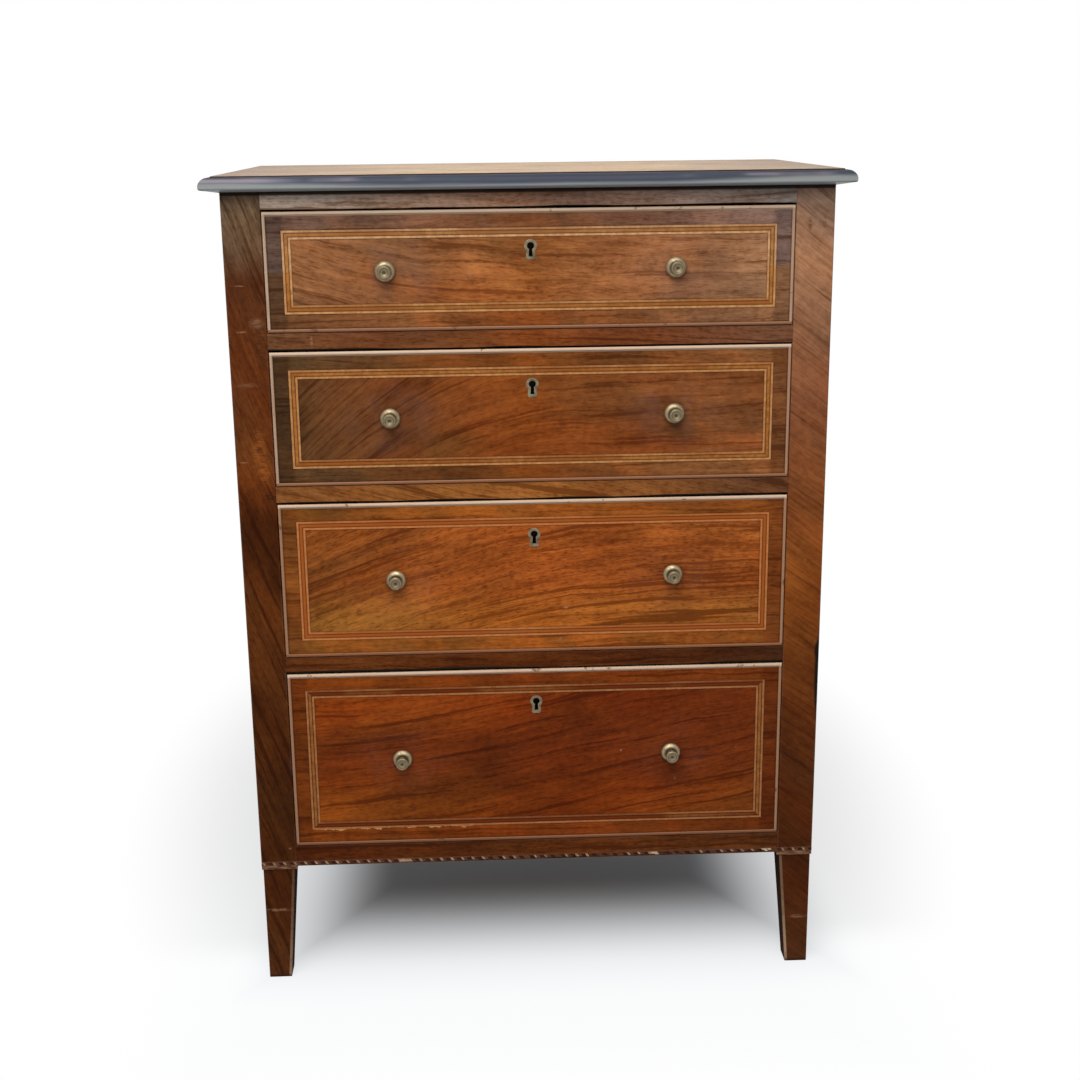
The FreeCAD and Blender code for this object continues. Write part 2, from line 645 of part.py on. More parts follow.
    def key_slot(self, y):
        """The plain slot behind the escutcheon, as wide and as tall as its keyhole."""
        foot = self.pin_z - KEY_SLOT_DROP
        return block((-KEY_HOLE_RADIUS, KEY_HOLE_RADIUS), y, (foot, self.pin_z + KEY_HOLE_RADIUS))

    def lock(self):
        """The hollow lock, with its key slot and the slot for the bolt."""
        half = LOCK_CASE_WIDTH / 2 - LOCK_CASE_WALL
        low = self.pin_z - LOCK_CASE_BELOW_PIN + LOCK_CASE_WALL
        cavity_y = (LOCK_CAVITY_FRONT, LOCK_CAVITY_BACK)
        cavity = block((-half, half), cavity_y, (low, self.high - LOCK_PLATE_THICKNESS))
        half_slot = BOLT_TONGUE_WIDTH / 2 + BOLT_PLAY
        slot = block((-half_slot, half_slot), cavity_y, (low, self.high + OVERRUN))
        key_slot = self.key_slot((LOCK_CASE_FRONT - OVERRUN, LOCK_CAVITY_FRONT + OVERRUN))
        return self.lock_shell().cut([cavity, slot, key_slot])

    def lock_cuts(self):
        """What the front loses to the escutcheon, the key slot and the lock."""
        seat_back = FRONT_Y + ESCUTCHEON_DEPTH
        seat = self.keyhole(ESCUTCHEON_WALL, (FRONT_Y - ESCUTCHEON_PROUD, seat_back))
        return [seat, self.key_slot((seat_back - OVERRUN, LOCK_CASE_FRONT + OVERRUN)), self.lock_shell()]

    def bolt(self):
        """The bolt at rest, drawn down: a tongue in the edge plate, on a wider body with a talon notch."""
        y = (LOCK_CAVITY_FRONT + BOLT_PLAY, LOCK_CAVITY_BACK - BOLT_PLAY)
        body_high = self.high - LOCK_PLATE_THICKNESS - BOLT_THROW - BOLT_PLAY
        body_low = self.pin_z + BOLT_ABOVE_PIN
        half_tongue, half_body = BOLT_TONGUE_WIDTH / 2, BOLT_BODY_WIDTH / 2
        tongue = block((-half_tongue, half_tongue), y, (body_low, self.high - BOLT_PLAY))
        body = block((-half_body, half_body), y, (body_low, body_high))
        sides = [(-BOLT_TALON_WIDTH, -OVERRUN), (BOLT_TALON_WIDTH, -OVERRUN), (0, BOLT_TALON_HEIGHT)]
        points = [Vector(x, y[0] - OVERRUN, body_low + up) for x, up in sides]
        talon = prism(points, Y_AXIS * (y[1] - y[0] + 2 * OVERRUN))
        return joined(body, [tongue]).cut(talon)


def shank(centre, radius, y):
    """An eight-sided bar, which stands in for a threaded shank, between two planes."""
    middle = Vector(centre.x, y[0], centre.z)
    turns = [FreeCAD.Rotation(Y_AXIS, 360 * corner / KNOB_SHANK_SIDES) for corner in range(KNOB_SHANK_SIDES)]
    points = [middle + turn.multVec(X_AXIS * radius) for turn in turns]
    return prism(points, Y_AXIS * (y[1] - y[0]))


def turned_knob(centre):
    """A knob turned on a lathe, in one piece with the shank that goes through the drawer front."""
    radius = KNOB_DIAMETER / 2
    outline = [centre]
    outline += [centre + Vector(radius * out, -KNOB_PROJECTION * up, 0) for out, up in KNOB_OUTLINE_SHARES]
    outline.append(centre - Y_AXIS * KNOB_PROJECTION)
    head = Part.Face(Part.makePolygon(outline + outline[:1])).revolve(centre, Y_AXIS, 360)
    shank_end = FRONT_INNER_Y + KNOB_NUT_THICKNESS + KNOB_SHANK_END
    return head.fuse(shank(centre, KNOB_SHANK_RADIUS, (FRONT_Y, shank_end)))


def knob_nut(centre):
    half = KNOB_NUT_WIDTH / 2
    y = (FRONT_INNER_Y, FRONT_INNER_Y + KNOB_NUT_THICKNESS)
    nut = block((centre.x - half, centre.x + half), y, (centre.z - half, centre.z + half))
    return nut.cut(shank(centre, KNOB_SHANK_RADIUS + KNOB_HOLE_PLAY, y))


# Everything, one node at a time

def write_carcass():
    write("top_board", [top_board()])
    left_panel = side_panel()
    write("side_panel_left", [left_panel])
    write("side_panel_right", [mirrored(left_panel)])
    for name, post in (("front", front_post()), ("back", back_post())):
        write("post_" + name + "_left", [post])
        write("post_" + name + "_right", [mirrored(post)])
    rails = front_rails()
    write("top_rail", [rails[0]])
    for index, rail in enumerate(rails[1:-1]):
        write("drawer_rail_" + str(index + 1), [rail])
    write("bottom_rail", [rails[-1]])
    write("back_rails", back_rails())
    write("back_boards", back_boards())
    write("top_kickers", pair(kicker()))
    write("glue_blocks", [side for shape in glue_blocks() for side in pair(shape)])
    write("drawer_runners", [side for top in RAIL_TOPS for side in pair(runner(top))])
    write("drawer_guides", [side for top in RAIL_TOPS for side in pair(guide(top))])
    write("drawer_stops", [side for top in RAIL_TOPS for side in pair(stop(top))])
    write("rope_stringing", [rope_strip()])


def write_drawers():
    for index, (rail_top, height) in enumerate(zip(RAIL_TOPS, DRAWER_HEIGHTS)):
        drawer = Drawer(rail_top, height)
        name = "drawer_" + str(index + 1) + "_"
        write(name + "front", [drawer.front()])
        write(name + "sides", pair(drawer.side()))
        write(name + "back", [drawer.back()])
        write(name + "bottom", [drawer.bottom()])
        write(name + "cock_bead", drawer.cock_bead())
        write(name + "inlay", drawer.band())
        write(name + "knobs", drawer.knobs())
        write(name + "escutcheon", [drawer.escutcheon()])
        write(name + "lock", [drawer.lock()])
        write(name + "bolt", [drawer.bolt()])


os.makedirs("parts", exist_ok=True)
write_carcass()
write_drawers()
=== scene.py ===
import math
import random

import bmesh
import bpy
from bpy.props import FloatProperty, FloatVectorProperty, IntProperty, PointerProperty
from mathutils import Color, Euler, Matrix, Vector


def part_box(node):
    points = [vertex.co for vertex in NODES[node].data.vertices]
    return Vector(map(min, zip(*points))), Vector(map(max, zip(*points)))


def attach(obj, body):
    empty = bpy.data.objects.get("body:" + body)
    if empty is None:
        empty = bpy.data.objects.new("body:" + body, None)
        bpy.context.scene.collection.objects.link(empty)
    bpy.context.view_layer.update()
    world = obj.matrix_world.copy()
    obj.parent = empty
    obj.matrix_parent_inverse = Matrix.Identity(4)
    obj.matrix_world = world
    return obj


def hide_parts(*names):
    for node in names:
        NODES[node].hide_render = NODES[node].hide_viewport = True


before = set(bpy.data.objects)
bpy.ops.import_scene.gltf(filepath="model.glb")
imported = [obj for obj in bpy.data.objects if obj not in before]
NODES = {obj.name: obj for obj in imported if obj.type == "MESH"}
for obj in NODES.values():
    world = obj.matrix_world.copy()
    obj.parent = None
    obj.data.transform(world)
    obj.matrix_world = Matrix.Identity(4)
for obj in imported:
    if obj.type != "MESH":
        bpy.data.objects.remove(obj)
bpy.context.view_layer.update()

bl_info = {
    "name": "Bachelors chest",
    "version": (1, 0, 0),
    "blender": (4, 5, 0),
    "location": "View3D > Sidebar > Chest",
    "description": "Finishes a four-drawer mahogany chest and sets it on a pale floor",
    "category": "Object",
}

# The frame that everything is fitted to, in metres. The front of the chest faces -Y.
MM = 0.001
DRAWERS = (1, 2, 3, 4)
SIDES = ("left", "right")
CARCASS = "carcass"
TOP_LOW, TOP_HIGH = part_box("top_board")
ROPE_LOW, ROPE_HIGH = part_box("rope_stringing")
FRONT_Y = ROPE_LOW.y
FRONT_SKIN = FRONT_Y + 4 * MM
VENEER = 1.2 * MM
LOCK_PIN_DROP = 43 * MM
KEYHOLE_DROP = LOCK_PIN_DROP + 4 * MM
BACK_BOARDS = 5
NAIL_INSET = 14 * MM
LEG_HEIGHT = 157 * MM
LEG_ARRIS_TOP, LEG_ARRIS_FOOT = 317.4 * MM, 329.4 * MM
TOUCH = 0.01 * MM
PLAIN = (1.0, 1.0, 1.0)


def drawer_body(number):
    return "drawer_" + str(number)


def drawer_node(number, part):
    return drawer_body(number) + "_" + part


def knob_centres(number):
    """The two places on a drawer front that its knobs stand on."""
    low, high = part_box(drawer_node(number, "knobs"))
    radius = (high.z - low.z) / 2
    height = (low.z + high.z) / 2
    return [Vector((x, FRONT_Y, height)) for x in (low.x + radius, high.x - radius)]


# Settings that a user would change

def colour(name, description, red, green, blue):
    """A colour setting, with its default as it is seen on screen."""
    return FloatVectorProperty(
        name=name, description=description, subtype="COLOR_GAMMA", size=3, min=0.0, max=1.0,
        default=(red / 255, green / 255, blue / 255))


def length(name, description, millimetres):
    return FloatProperty(
        name=name, description=description, subtype="DISTANCE", unit="LENGTH", min=0.0, precision=4,
        default=millimetres * MM)


class ChestColours(bpy.types.PropertyGroup):
    """Colours of the chest, each as it looks in plain light"""

    drawer_1: colour("Top drawer", "Veneer of the top drawer", 140, 81, 38)
    drawer_2: colour("Second drawer", "Veneer of the second drawer", 130, 66, 23)
    drawer_3: colour("Third drawer", "Veneer of the third drawer", 152, 77, 28)
    drawer_4: colour("Bottom drawer", "Veneer of the bottom drawer", 102, 41, 10)
    post_left: colour("Left posts", "Posts and legs on the left", 84, 47, 22)
    post_right: colour("Right posts", "Posts and legs on the right", 120, 69, 36)
    # Its greyish tone partly paints the sky's reflection
    top_rail: colour("Top rail", "Rail under the top", 150, 108, 82)
    drawer_rail_1: colour("First rail", "Rail under the top drawer", 116, 60, 24)
    drawer_rail_2: colour("Second rail", "Rail under the second drawer", 140, 86, 38)
    drawer_rail_3: colour("Third rail", "Rail under the third drawer", 88, 44, 14)
    bottom_rail: colour("Bottom rail", "Rail over the rope stringing", 96, 48, 15)
    panel: colour("Side panels", "Mahogany of both side panels", 92, 51, 25)
    ground: colour("Drawer ground", "Bare mahogany behind the veneer", 112, 70, 42)
    patina: colour("Patina", "Grey bloom round the knobs and on worn polish", 128, 96, 78)
    # Its blue-grey partly paints the sky's reflection in the polish
    ebony: colour("Moulding", "Dark polish on the edge of the top", 60, 65, 78)
    # Its paleness is wear together with a painted sky reflection
    edge_wear_and_sheen: colour("Worn moulding", "Lower edge of the top's moulding", 144, 146, 143)
    bleached: colour("Top", "Sun-bleached upper face of the top", 170, 144, 110)
    # Its paleness also serves the painted highlight along the top of each bead and just below it
    bead_light: colour("Bead, worn", "Worn nose of the cock bead", 194, 166, 140)
    # Also the base of the painted shade along each bead's foot and where it is let in
    bead_dark: colour("Bead, polished", "Cock bead where its polish is left", 162, 118, 88)
    line: colour("Stringing lines", "Pale lines of the inlaid band", 206, 150, 94)
    satinwood: colour("Band", "Satinwood core of the inlaid band", 184, 120, 60)
    rope_light: colour("Rope, light", "Light strands of the rope stringing", 182, 148, 118)
    rope_brown: colour("Rope, brown", "Brown strands of the rope stringing", 104, 66, 48)
    rope_dark: colour("Rope, dark", "Dark strands of the rope stringing", 64, 36, 24)
    rope_bare: colour("Rope, chipped", "Bare wood where the rope stringing is chipped", 222, 196, 160)
    brass: colour("Brass", "Aged brass of knobs, escutcheons and locks", 153, 138, 112)
    iron: colour("Iron", "Bolts and screws of the locks", 78, 72, 68)
    oak: colour("Oak", "Drawer linings", 172, 138, 96)
    pine: colour("Pine", "Runners, guides and back", 158, 120, 78)


class ChestSizes(bpy.types.PropertyGroup):
    """Sizes of the small pieces"""

    rope_pitch: length("Rope pitch", "Length of one light, one brown and one dark strand", 13.6)
    rope_lean: length("Rope lean", "How far a strand leans over its height", 4.0)
    rope_relief: length("Rope relief", "How far the most worn strand has sunk", 0.7)
    bead_width: length("Bead width", "Width of the cock bead seen from the front", 3.7)
    band_inset: length("Band inset", "Edge of a drawer front to its inlaid band", 21.5)
    line_width: length("Line width", "Width of a pale line", 3.0)
    core_width: length("Core width", "Width of the band between its lines", 4.4)
    key_hole_radius: length("Keyhole radius", "Round of the keyhole", 4.2)
    key_slot_width: length("Key slot width", "Keyhole slot at its neck", 3.6)
    key_foot_width: length("Key slot foot", "Keyhole slot at its foot", 4.6)
    screw_radius: length("Screw radius", "Heads of the lock screws", 2.9)
    nail_radius: length("Nail radius", "Heads of the nails", 2.1)
    knob_steps: IntProperty(name="Knob steps", description="Steps round a turned knob", min=12, default=48)


class ChestStage(bpy.types.PropertyGroup):
    """Camera, light and floor"""

    camera_place: FloatVectorProperty(
        name="Camera", description="Where the camera stands", subtype="TRANSLATION", unit="LENGTH",
        default=(-0.0633, -2.0666, 1.0943))
    camera_turn: FloatVectorProperty(
        name="Camera turn", description="Yaw, pitch and roll of the camera", subtype="EULER", unit="ROTATION",
        default=(math.radians(2.168), math.radians(15.078), math.radians(-0.675)))
    camera_lens: FloatProperty(name="Lens", description="Focal length in millimetres", default=51.92)
    sky: FloatProperty(name="Sky", description="Strength of the even light all round", default=0.30)
    key: FloatProperty(
        name="Key", description="Power of the soft overhead light", unit="POWER", default=104.0)
    floor: colour("Floor", "Colour of the floor", 198, 208, 221)


def linear(seen, factors=PLAIN, level=1.0):
    """The shader's values for a colour seen on screen, times a factor for each channel and a level."""
    values = Color(seen).from_srgb_to_scene_linear()
    return (*(min(1.0, value * factor * level) for value, factor in zip(values, factors)), 1.0)


# Wiring of materials

POLISH_SHINE = 0.04


def reckoned(operation, turned=False):
    """A sum of a value and another one, which comes first where the sum is turned."""
    def method(self, other):
        return self.wiring.calc(operation, *((other, self) if turned else (self, other)))
    return method


class Value:
    """A number that nodes work out. Sums can be done with it."""

    __add__ = __radd__ = reckoned("ADD")
    __sub__, __rsub__ = reckoned("SUBTRACT"), reckoned("SUBTRACT", True)
    __mul__ = __rmul__ = reckoned("MULTIPLY")
    __truediv__, __pow__ = reckoned("DIVIDE"), reckoned("POWER")
    __lt__, __gt__ = reckoned("LESS_THAN"), reckoned("GREATER_THAN")
    least, most = reckoned("MINIMUM"), reckoned("MAXIMUM")

    def __init__(self, wiring, socket):
        self.wiring = wiring
        self.socket = socket

    def __abs__(self):
        return self.wiring.calc("ABSOLUTE", self)

    def ramp(self, start, end, ease="LINEAR"):
        """0 at start and 1 at end."""
        values = {"Value": self, "From Min": start, "From Max": end}
        return Value(self.wiring, self.wiring.node("MapRange", values, interpolation_type=ease).outputs[0])

    def span(self, start, end):
        """0 at start and 1 at end, eased."""
        return self.ramp(start, end, "SMOOTHSTEP")


class Wiring:
    """Adds nodes to a tree. They are fed with numbers, colours, values and the outputs of other nodes."""

    def __init__(self, tree):
        self.tree = tree

    def node(self, kind, values=None, **settings):
        node = self.tree.nodes.new("ShaderNode" + kind)
        for key, value in settings.items():
            setattr(node, key, value)
        for key, value in (values or {}).items():
            self.feed(node.inputs[key], value)
        return node

    def feed(self, socket, value):
        if isinstance(value, Value):
            value = value.socket
        if isinstance(value, bpy.types.NodeSocket):
            self.tree.links.new(value, socket)
        elif socket.type == "RGBA":
            socket.default_value = (*value[:3], 1.0)
        else:
            socket.default_value = value

    def calc(self, operation, *values):
        return Value(self, self.node("Math", dict(enumerate(values)), operation=operation).outputs[0])

    def seen(self):
        """1 for the rays that show the background."""
        path = self.node("LightPath").outputs
        seen = self.calc("MAXIMUM", path["Is Camera Ray"], path["Is Glossy Ray"])
        return seen.most(path["Is Transmission Ray"])


class Finish(Wiring):
    """One material, which holds its shade while tints are laid over it."""

    def __init__(self, name, roughness, shine=POLISH_SHINE, metal=0.0):
        self.material = bpy.data.materials.new(name)
        self.material.use_nodes = True
        super().__init__(self.material.node_tree)
        self.shader = self.tree.nodes["Principled BSDF"]
        for key, value in (("Roughness", roughness), ("Specular IOR Level", shine), ("Metallic", metal)):
            self.shader.inputs[key].default_value = value
        self.place = self.node("TexCoord").outputs["Object"]
        self.axes = self.split(self.place)
        self.shade = None

    def split(self, vector):
        return [Value(self, socket) for socket in self.node("SeparateXYZ", {0: vector}).outputs]

    def point(self, along, across, through):
        return self.node("CombineXYZ", {0: along, 1: across, 2: through}).outputs[0]

    def far(self, across, up):
        """Distance of a place from the origin of two measures."""
        place = self.point(across, up, 0.0)
        return Value(self, self.node("VectorMath", {0: place}, operation="LENGTH").outputs["Value"])

    def mix(self, share, first, second, blend="MIX"):
        values = {0: share, 6: first, 7: second}
        return self.node("Mix", values, data_type="RGBA", blend_type=blend).outputs[2]

    def between(self, share, seen, first, second=PLAIN):
        """A colour between two tones of a seen colour, each given by its factors."""
        return self.mix(share, linear(seen, first), linear(seen, second))

    def lay(self, share, tint, blend="MIX"):
        """Lays a tint over the shade."""
        self.shade = self.mix(share, self.shade, tint, blend)

    def shades(self, value, stops):
        """A colour that runs through the stops, pairs of a position and a colour."""
        ramp = self.node("ValToRGB", {0: value})
        elements = ramp.color_ramp.elements
        for element, (position, shade) in zip(elements, (stops[0], stops[-1])):
            element.position = position
            element.color = shade
        for position, shade in stops[1:-1]:
            elements.new(position).color = shade
        return ramp.outputs[0]

    def noise(self, stretch, detail=2.0, roughness=0.5, seed=0.0, place=None):
        """Cloudy noise. Its stretch is one number, or one for each axis."""
        stretch = stretch if isinstance(stretch, tuple) else (stretch, stretch, stretch)
        shift = (seed, seed * 1.7, seed * 0.6)
        place = self.place if place is None else place
        place = self.node("Mapping", {"Vector": place, "Scale": stretch, "Location": shift}).outputs[0]
        values = {"Vector": place, "Scale": 1.0, "Detail": detail, "Roughness": roughness}
        return Value(self, self.node("TexNoise", values).outputs[0])

    def near(self, centre, reach, wobble=0.0, unit=1.0):
        """1 at a place on the front, falling to 0 at a reach along X and Z."""
        across = (self.axes[0] - centre[0] * unit) / (reach[0] * unit)
        up = (self.axes[2] - centre[1] * unit) / (reach[1] * unit)
        far = self.far(across, up)
        if wobble:
            far = self.noise(30, 3) * wobble + far - wobble / 2
        return far.span(1.0, 0.25)

    def edge(self, low, high, width):
        """1 on the edges of a box, falling to 0 at a width from them."""
        first, second, third = (abs(value - (start + end) / 2) - (end - start) / 2
                                for value, start, end in zip(self.axes, low, high))
        second_largest = first.least(second).most(first.most(second).least(third))
        return second_largest.span(-width, 0.0)

    def done(self, height=None, depth=0.0, roughness=None):
        """Hands the shade, the relief of the surface and its roughness to the shader."""
        self.feed(self.shader.inputs["Base Color"], self.shade)
        if roughness is not None:
            self.feed(self.shader.inputs["Roughness"], roughness)
        if height is not None:
            bump = self.node("Bump", {"Height": height, "Strength": 0.6, "Distance": depth})
            self.feed(self.shader.inputs["Normal"], bump.outputs[0])
        return self.material


# Woods

WOOD_DEPTHS = ((0.2, (0.36, 0.29, 0.23, 1)), (0.5, (0.68, 0.65, 0.62, 1)), (0.8, (1, 1, 1, 1)))
LIGHT_GRAIN = 1.94
OLIVE, RED, SHADOW = (0.64, 0.74, 0.88), (0.95, 0.80, 0.66), (0.52, 0.48, 0.46)
# A near-black that stands both for dirt and for painted shade
GRIME_AND_SHADE = (0.012, 0.008, 0.005)
NAIL_HEAD = (0.055, 0.042, 0.036)
FLAME_TONE, SHEEN_TONE = (0.62, 0.34, 0.14), (0.60, 0.55, 0.59)
CLOUDS = ((OLIVE, (5, 14, 14)), (RED, (5, 14, 14)), (SHADOW, (6, 7, 7)))
GRAIN_AXES = {"X": (0, 2, 1), "Y": (1, 2, 0), "Z": (2, 0, 1)}


def drift(finish, position, tone, stops):
    """A wood tone that changes along a piece. Each stop has a position and a factor for each channel."""
    return finish.shades(position, [(share, linear(tone, factors, LIGHT_GRAIN)) for share, factors in stops])


def grain(finish, tone, run, seed, slope=0.0, bend=0.0, bend_from=0.0, ripple=0.0, contrast=1.0, clouds=0.7,
          wrap=False):
    """Starts the shade as mahogany: flames, strokes, veins, fibres, flecks and pores that follow the grain.

    run is the axis of the grain, slope leans it, bend curves it before bend_from, ripple adds curl,
    clouds sets how far the wood turns olive or red in patches, and wrap carries it round a corner.
    The height of the surface is given back.
    """
    along, across, through = (finish.axes[axis] for axis in GRAIN_AXES[run])
    if wrap:
        along, through = finish.axes[0] + finish.axes[1], 0.0
    before = (bend_from - along).most(0.0)
    across = along * slope + across + before * before * bend
    place = finish.point(along, across, through)

    def layer(length, width, detail, roughness, shift):
        """Noise that is drawn out along the grain."""
        return finish.noise((length, width, width), detail, roughness, seed + shift, place)

    across = layer(3.0, 9.0, 2, 0.5, 0) * 0.03 + across
    across = layer(16, 34, 2, 0.5, 1) * 0.008 + across
    place = finish.point(along, across, through)
    fibres = layer(26, 260, 3, 0.6, 7)
    pores = layer(70, 1500, 1, 0.5, 9).span(0.60, 0.70)
    value = (layer(2.2, 24, 3, 0.55, 3) - 0.5) * (0.5 * contrast) + 0.5
    value = (layer(9, 100, 3, 0.6, 5) - 0.5) * (0.85 * contrast) + value
    value = (fibres - 0.5) * 0.6 + value
    value = layer(120, 620, 2, 0.5, 19).span(0.50, 0.66) * (-0.24 * contrast) + value
    value = layer(4, 150, 2, 0.5, 25).span(0.54, 0.72) * (-0.55 * contrast) + value
    value = (finish.noise(140, 2, 0.5, seed + 21) - 0.5) * 0.35 + value
    if ripple:
        leaning = finish.point(across * 1.6 + along, across, through)
        value = (finish.noise((62, 14, 14), 3, 0.6, seed + 11, leaning) - 0.5) * ripple + value
    finish.shade = finish.mix(1.0, finish.shades(value, WOOD_DEPTHS), tone, "MULTIPLY")
    for index, (tint, stretch) in enumerate(CLOUDS):
        cloud = finish.noise(stretch, 3, 0.5, seed + 13 + 2 * index, place).span(0.46, 0.68)
        finish.lay(cloud * clouds, tint, "MULTIPLY")
    finish.lay(pores * 0.3, GRIME_AND_SHADE)
    return fibres * 0.5 - pores


def blotched(finish, tint, mask, seed, strength):
    """Lays on a worn or hazy tint where the mask and a cloudy noise allow it."""
    cloud = finish.noise(26, 4, 0.6, seed).span(0.30, 0.72)
    finish.lay(mask * cloud * strength, tint)


def speckled(finish, tint, seed, least):
    """A few small nicks in the polish."""
    spots = finish.noise((190, 190, 240), 2, 0.5, seed).span(least, least + 0.04)
    finish.lay(spots * 0.5, tint)


def scratched(finish, tint, marks, whole=False):
    """Single marks on the front: middle and reach along X and Z in millimetres, and strength."""
    for centre, reach, strength in marks:
        mask = finish.near(centre, reach, 0.5, MM)
        if not whole:
            mask = mask * finish.noise((110, 110, 420), 3, 0.6, 23).span(0.35, 0.62)
        finish.lay(mask * (finish.axes[1] < FRONT_SKIN) * strength, tint)


def polish_roughness(finish, seed, low=0.36, high=0.6):
    return finish.noise(14, 4, 0.6, seed) * (high - low) + low


def worn_arris(finish, strength):
    """Where a tapered leg's inner front edge is rubbed pale, most of all at its foot, and its inner side,
    which takes painted shade.
    """
    x, _, z = finish.axes
    taper = (LEG_ARRIS_TOP - LEG_ARRIS_FOOT) / LEG_HEIGHT
    inward = abs(x) - (z * taper + LEG_ARRIS_FOOT)
    on_leg = z < LEG_HEIGHT
    ahead = finish.split(finish.node("TexCoord").outputs["Normal"])[1] < -0.5
    low = z.span(LEG_HEIGHT, 0.0) ** 2.0
    patches = finish.noise(40, 3, 0.6, 19).span(0.2, 0.55)
    rubbed = patches * (low * 0.7 + 0.32) * strength
    rubbed = inward.span(4.0 * MM, 2.6 * MM) * on_leg * ahead * rubbed
    inner = inward.span(1.4 * MM, 0.6 * MM) * on_leg
    return rubbed, inner * (1.0 - ahead)


def carcass_wood(node, tone, looks, run, seed, stops, drift_run=None, pale=(), dark=(), warm=(), edge_shade=(),
                 arris=0.0, gap_shade=0.0, **figure):
    """Polished mahogany for a carcass piece: its tone drifts, and painted shade lies under the top and over a
    drawer's gap.
    """
    low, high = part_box(node)
    finish = Finish("mahogany_of_" + node, 0.45)
    _, y, z = finish.axes
    axis = "XYZ".index(drift_run or run)
    position = finish.axes[axis].ramp(low[axis], high[axis])
    height = grain(finish, drift(finish, position, tone, stops), run, seed, **figure)
    blotched(finish, linear(looks.patina), finish.edge(low, high, 2.5 * MM), seed + 2, 0.35)
    scratched(finish, linear(FLAME_TONE), warm)
    scratched(finish, GRIME_AND_SHADE, dark)
    # Painted shade: a black streak down the right post's outer edge
    scratched(finish, GRIME_AND_SHADE, edge_shade, whole=True)
    scratched(finish, linear(looks.bead_light, (1.0, 0.8, 0.6)), pale)
    speckled(finish, linear(looks.patina, level=1.3), seed + 4, 0.77)
    roughness = polish_roughness(finish, seed)
    if arris:
        rubbed, inner = worn_arris(finish, arris)
        collar = finish.calc("COMPARE", z, (LEG_HEIGHT + ROPE_LOW.z) / 2, (ROPE_LOW.z - LEG_HEIGHT) / 2)
        mottled = finish.noise((90, 90, 300), 3, 0.6, seed + 8).span(0.3, 0.7)
        edge_tone = finish.mix(mottled, linear(looks.rope_brown, (0.7, 0.65, 0.55)),
                               linear(looks.rope_light, (0.7, 0.6, 0.5)))
        finish.lay(collar * (y < FRONT_SKIN) * 0.8, edge_tone)
        finish.lay(rubbed, linear(looks.bead_light, (0.9, 0.84, 0.74)))
        # Painted shade on the legs' inner faces, which also turn darker towards the bottom of the feet
        finish.lay(inner.most(z.span(5 * MM, 1 * MM)) * 0.75, GRIME_AND_SHADE)
        roughness = roughness.most(inner)
    # Painted shade in the gap over the drawer below: a dark line of uneven height along the rail's lower edge
    if gap_shade:
        uneven = finish.noise((7, 1, 1), 2, 0.5, seed + 6).span(0.35, 0.6)
        finish.lay((uneven * gap_shade + low.z - z).span(-0.4 * MM, 0.4 * MM), GRIME_AND_SHADE)
    # Painted shadow under the top's overhang
    finish.lay(z.span(TOP_LOW.z - 5 * MM, TOP_LOW.z - 2.5 * MM) * 0.95, GRIME_AND_SHADE)
    return finish.done(height, 0.12 * MM, roughness)


def bare_wood(name, tone, run, seed, bands=55, nails=None):
    """Unpolished lining timber with open grain, and flush nail heads where a pattern of them is given."""
    finish = Finish(name, 0.75, 0.1)
    along, across, through = (finish.axes[axis] for axis in GRAIN_AXES[run])
    if nails:
        left, board_width, rows, radius = nails
        board = (finish.axes[0] - left) / board_width
        through = finish.calc("FLOOR", board) * 0.4 + through
    wander = finish.noise((2.5, 8, 8), 2, 0.5, seed, finish.point(along, across, through))
    place = finish.point(along, wander * 0.05 + across, through)
    rings = finish.noise((0.9, bands, bands), 3, 0.6, seed + 1, place)
    fibres = finish.noise((14, 700, 700), 3, 0.6, seed + 2, place)
    dark, pale = linear(tone, (0.5, 0.44, 0.38)), linear(tone, level=1.25)
    stops = ((0.28, dark), (0.5, linear(tone)), (0.74, pale))
    finish.shade = finish.shades((fibres - 0.5) * 0.7 + rings, stops)
    soil = finish.noise(5, 4, 0.65, seed + 3).span(0.45, 0.8)
    finish.lay(soil * 0.5, linear(tone, (0.42, 0.36, 0.3)))
    if nails:
        aside = (abs(finish.calc("FRACT", board) - 0.5) - 0.22) * board_width
        lower, upper = (abs(finish.axes[2] - row) for row in rows)
        off = finish.far(aside, lower.least(upper))
        finish.lay(off.span(4 * radius, radius) * 0.55, GRIME_AND_SHADE)
        finish.lay(off.span(radius * 1.05, radius * 0.95), NAIL_HEAD)
    return finish.done(fibres, 0.25 * MM)


# Each drawer's veneer: its tones at the left and right end, as factors of its colour, and its figure
DRAWER_ENDS = {
    1: ((0.92, 1.3, 2.3), (1.25, 1.9, 3.8)),
    2: ((0.41, 0.80, 1.9), (1.25, 1.8, 3.6)),
    3: ((0.63, 0.8, 0.95), (0.7, 0.75, 0.9)),
    4: ((1.14, 1.38, 1.3), (0.94, 1.09, 1.3)),
}
DRAWER_FIGURES = {
    1: {"bend": -0.6, "bend_from": 0.0, "contrast": 0.7, "ripple": 0.1},
    2: {"bend": 1.5, "bend_from": 0.05, "contrast": 0.55, "ripple": 0.12, "clouds": 0.95},
    3: {"bend": 0.4, "bend_from": 0.2, "contrast": 1.05, "ripple": 0.1},
    4: {"slope": -0.2, "bend": -0.4, "bend_from": -0.05, "contrast": 0.65, "ripple": 0.1},
}
PATINA_STRENGTHS = {1: 0.34, 2: 0.22, 3: 0.1, 4: 0.1}

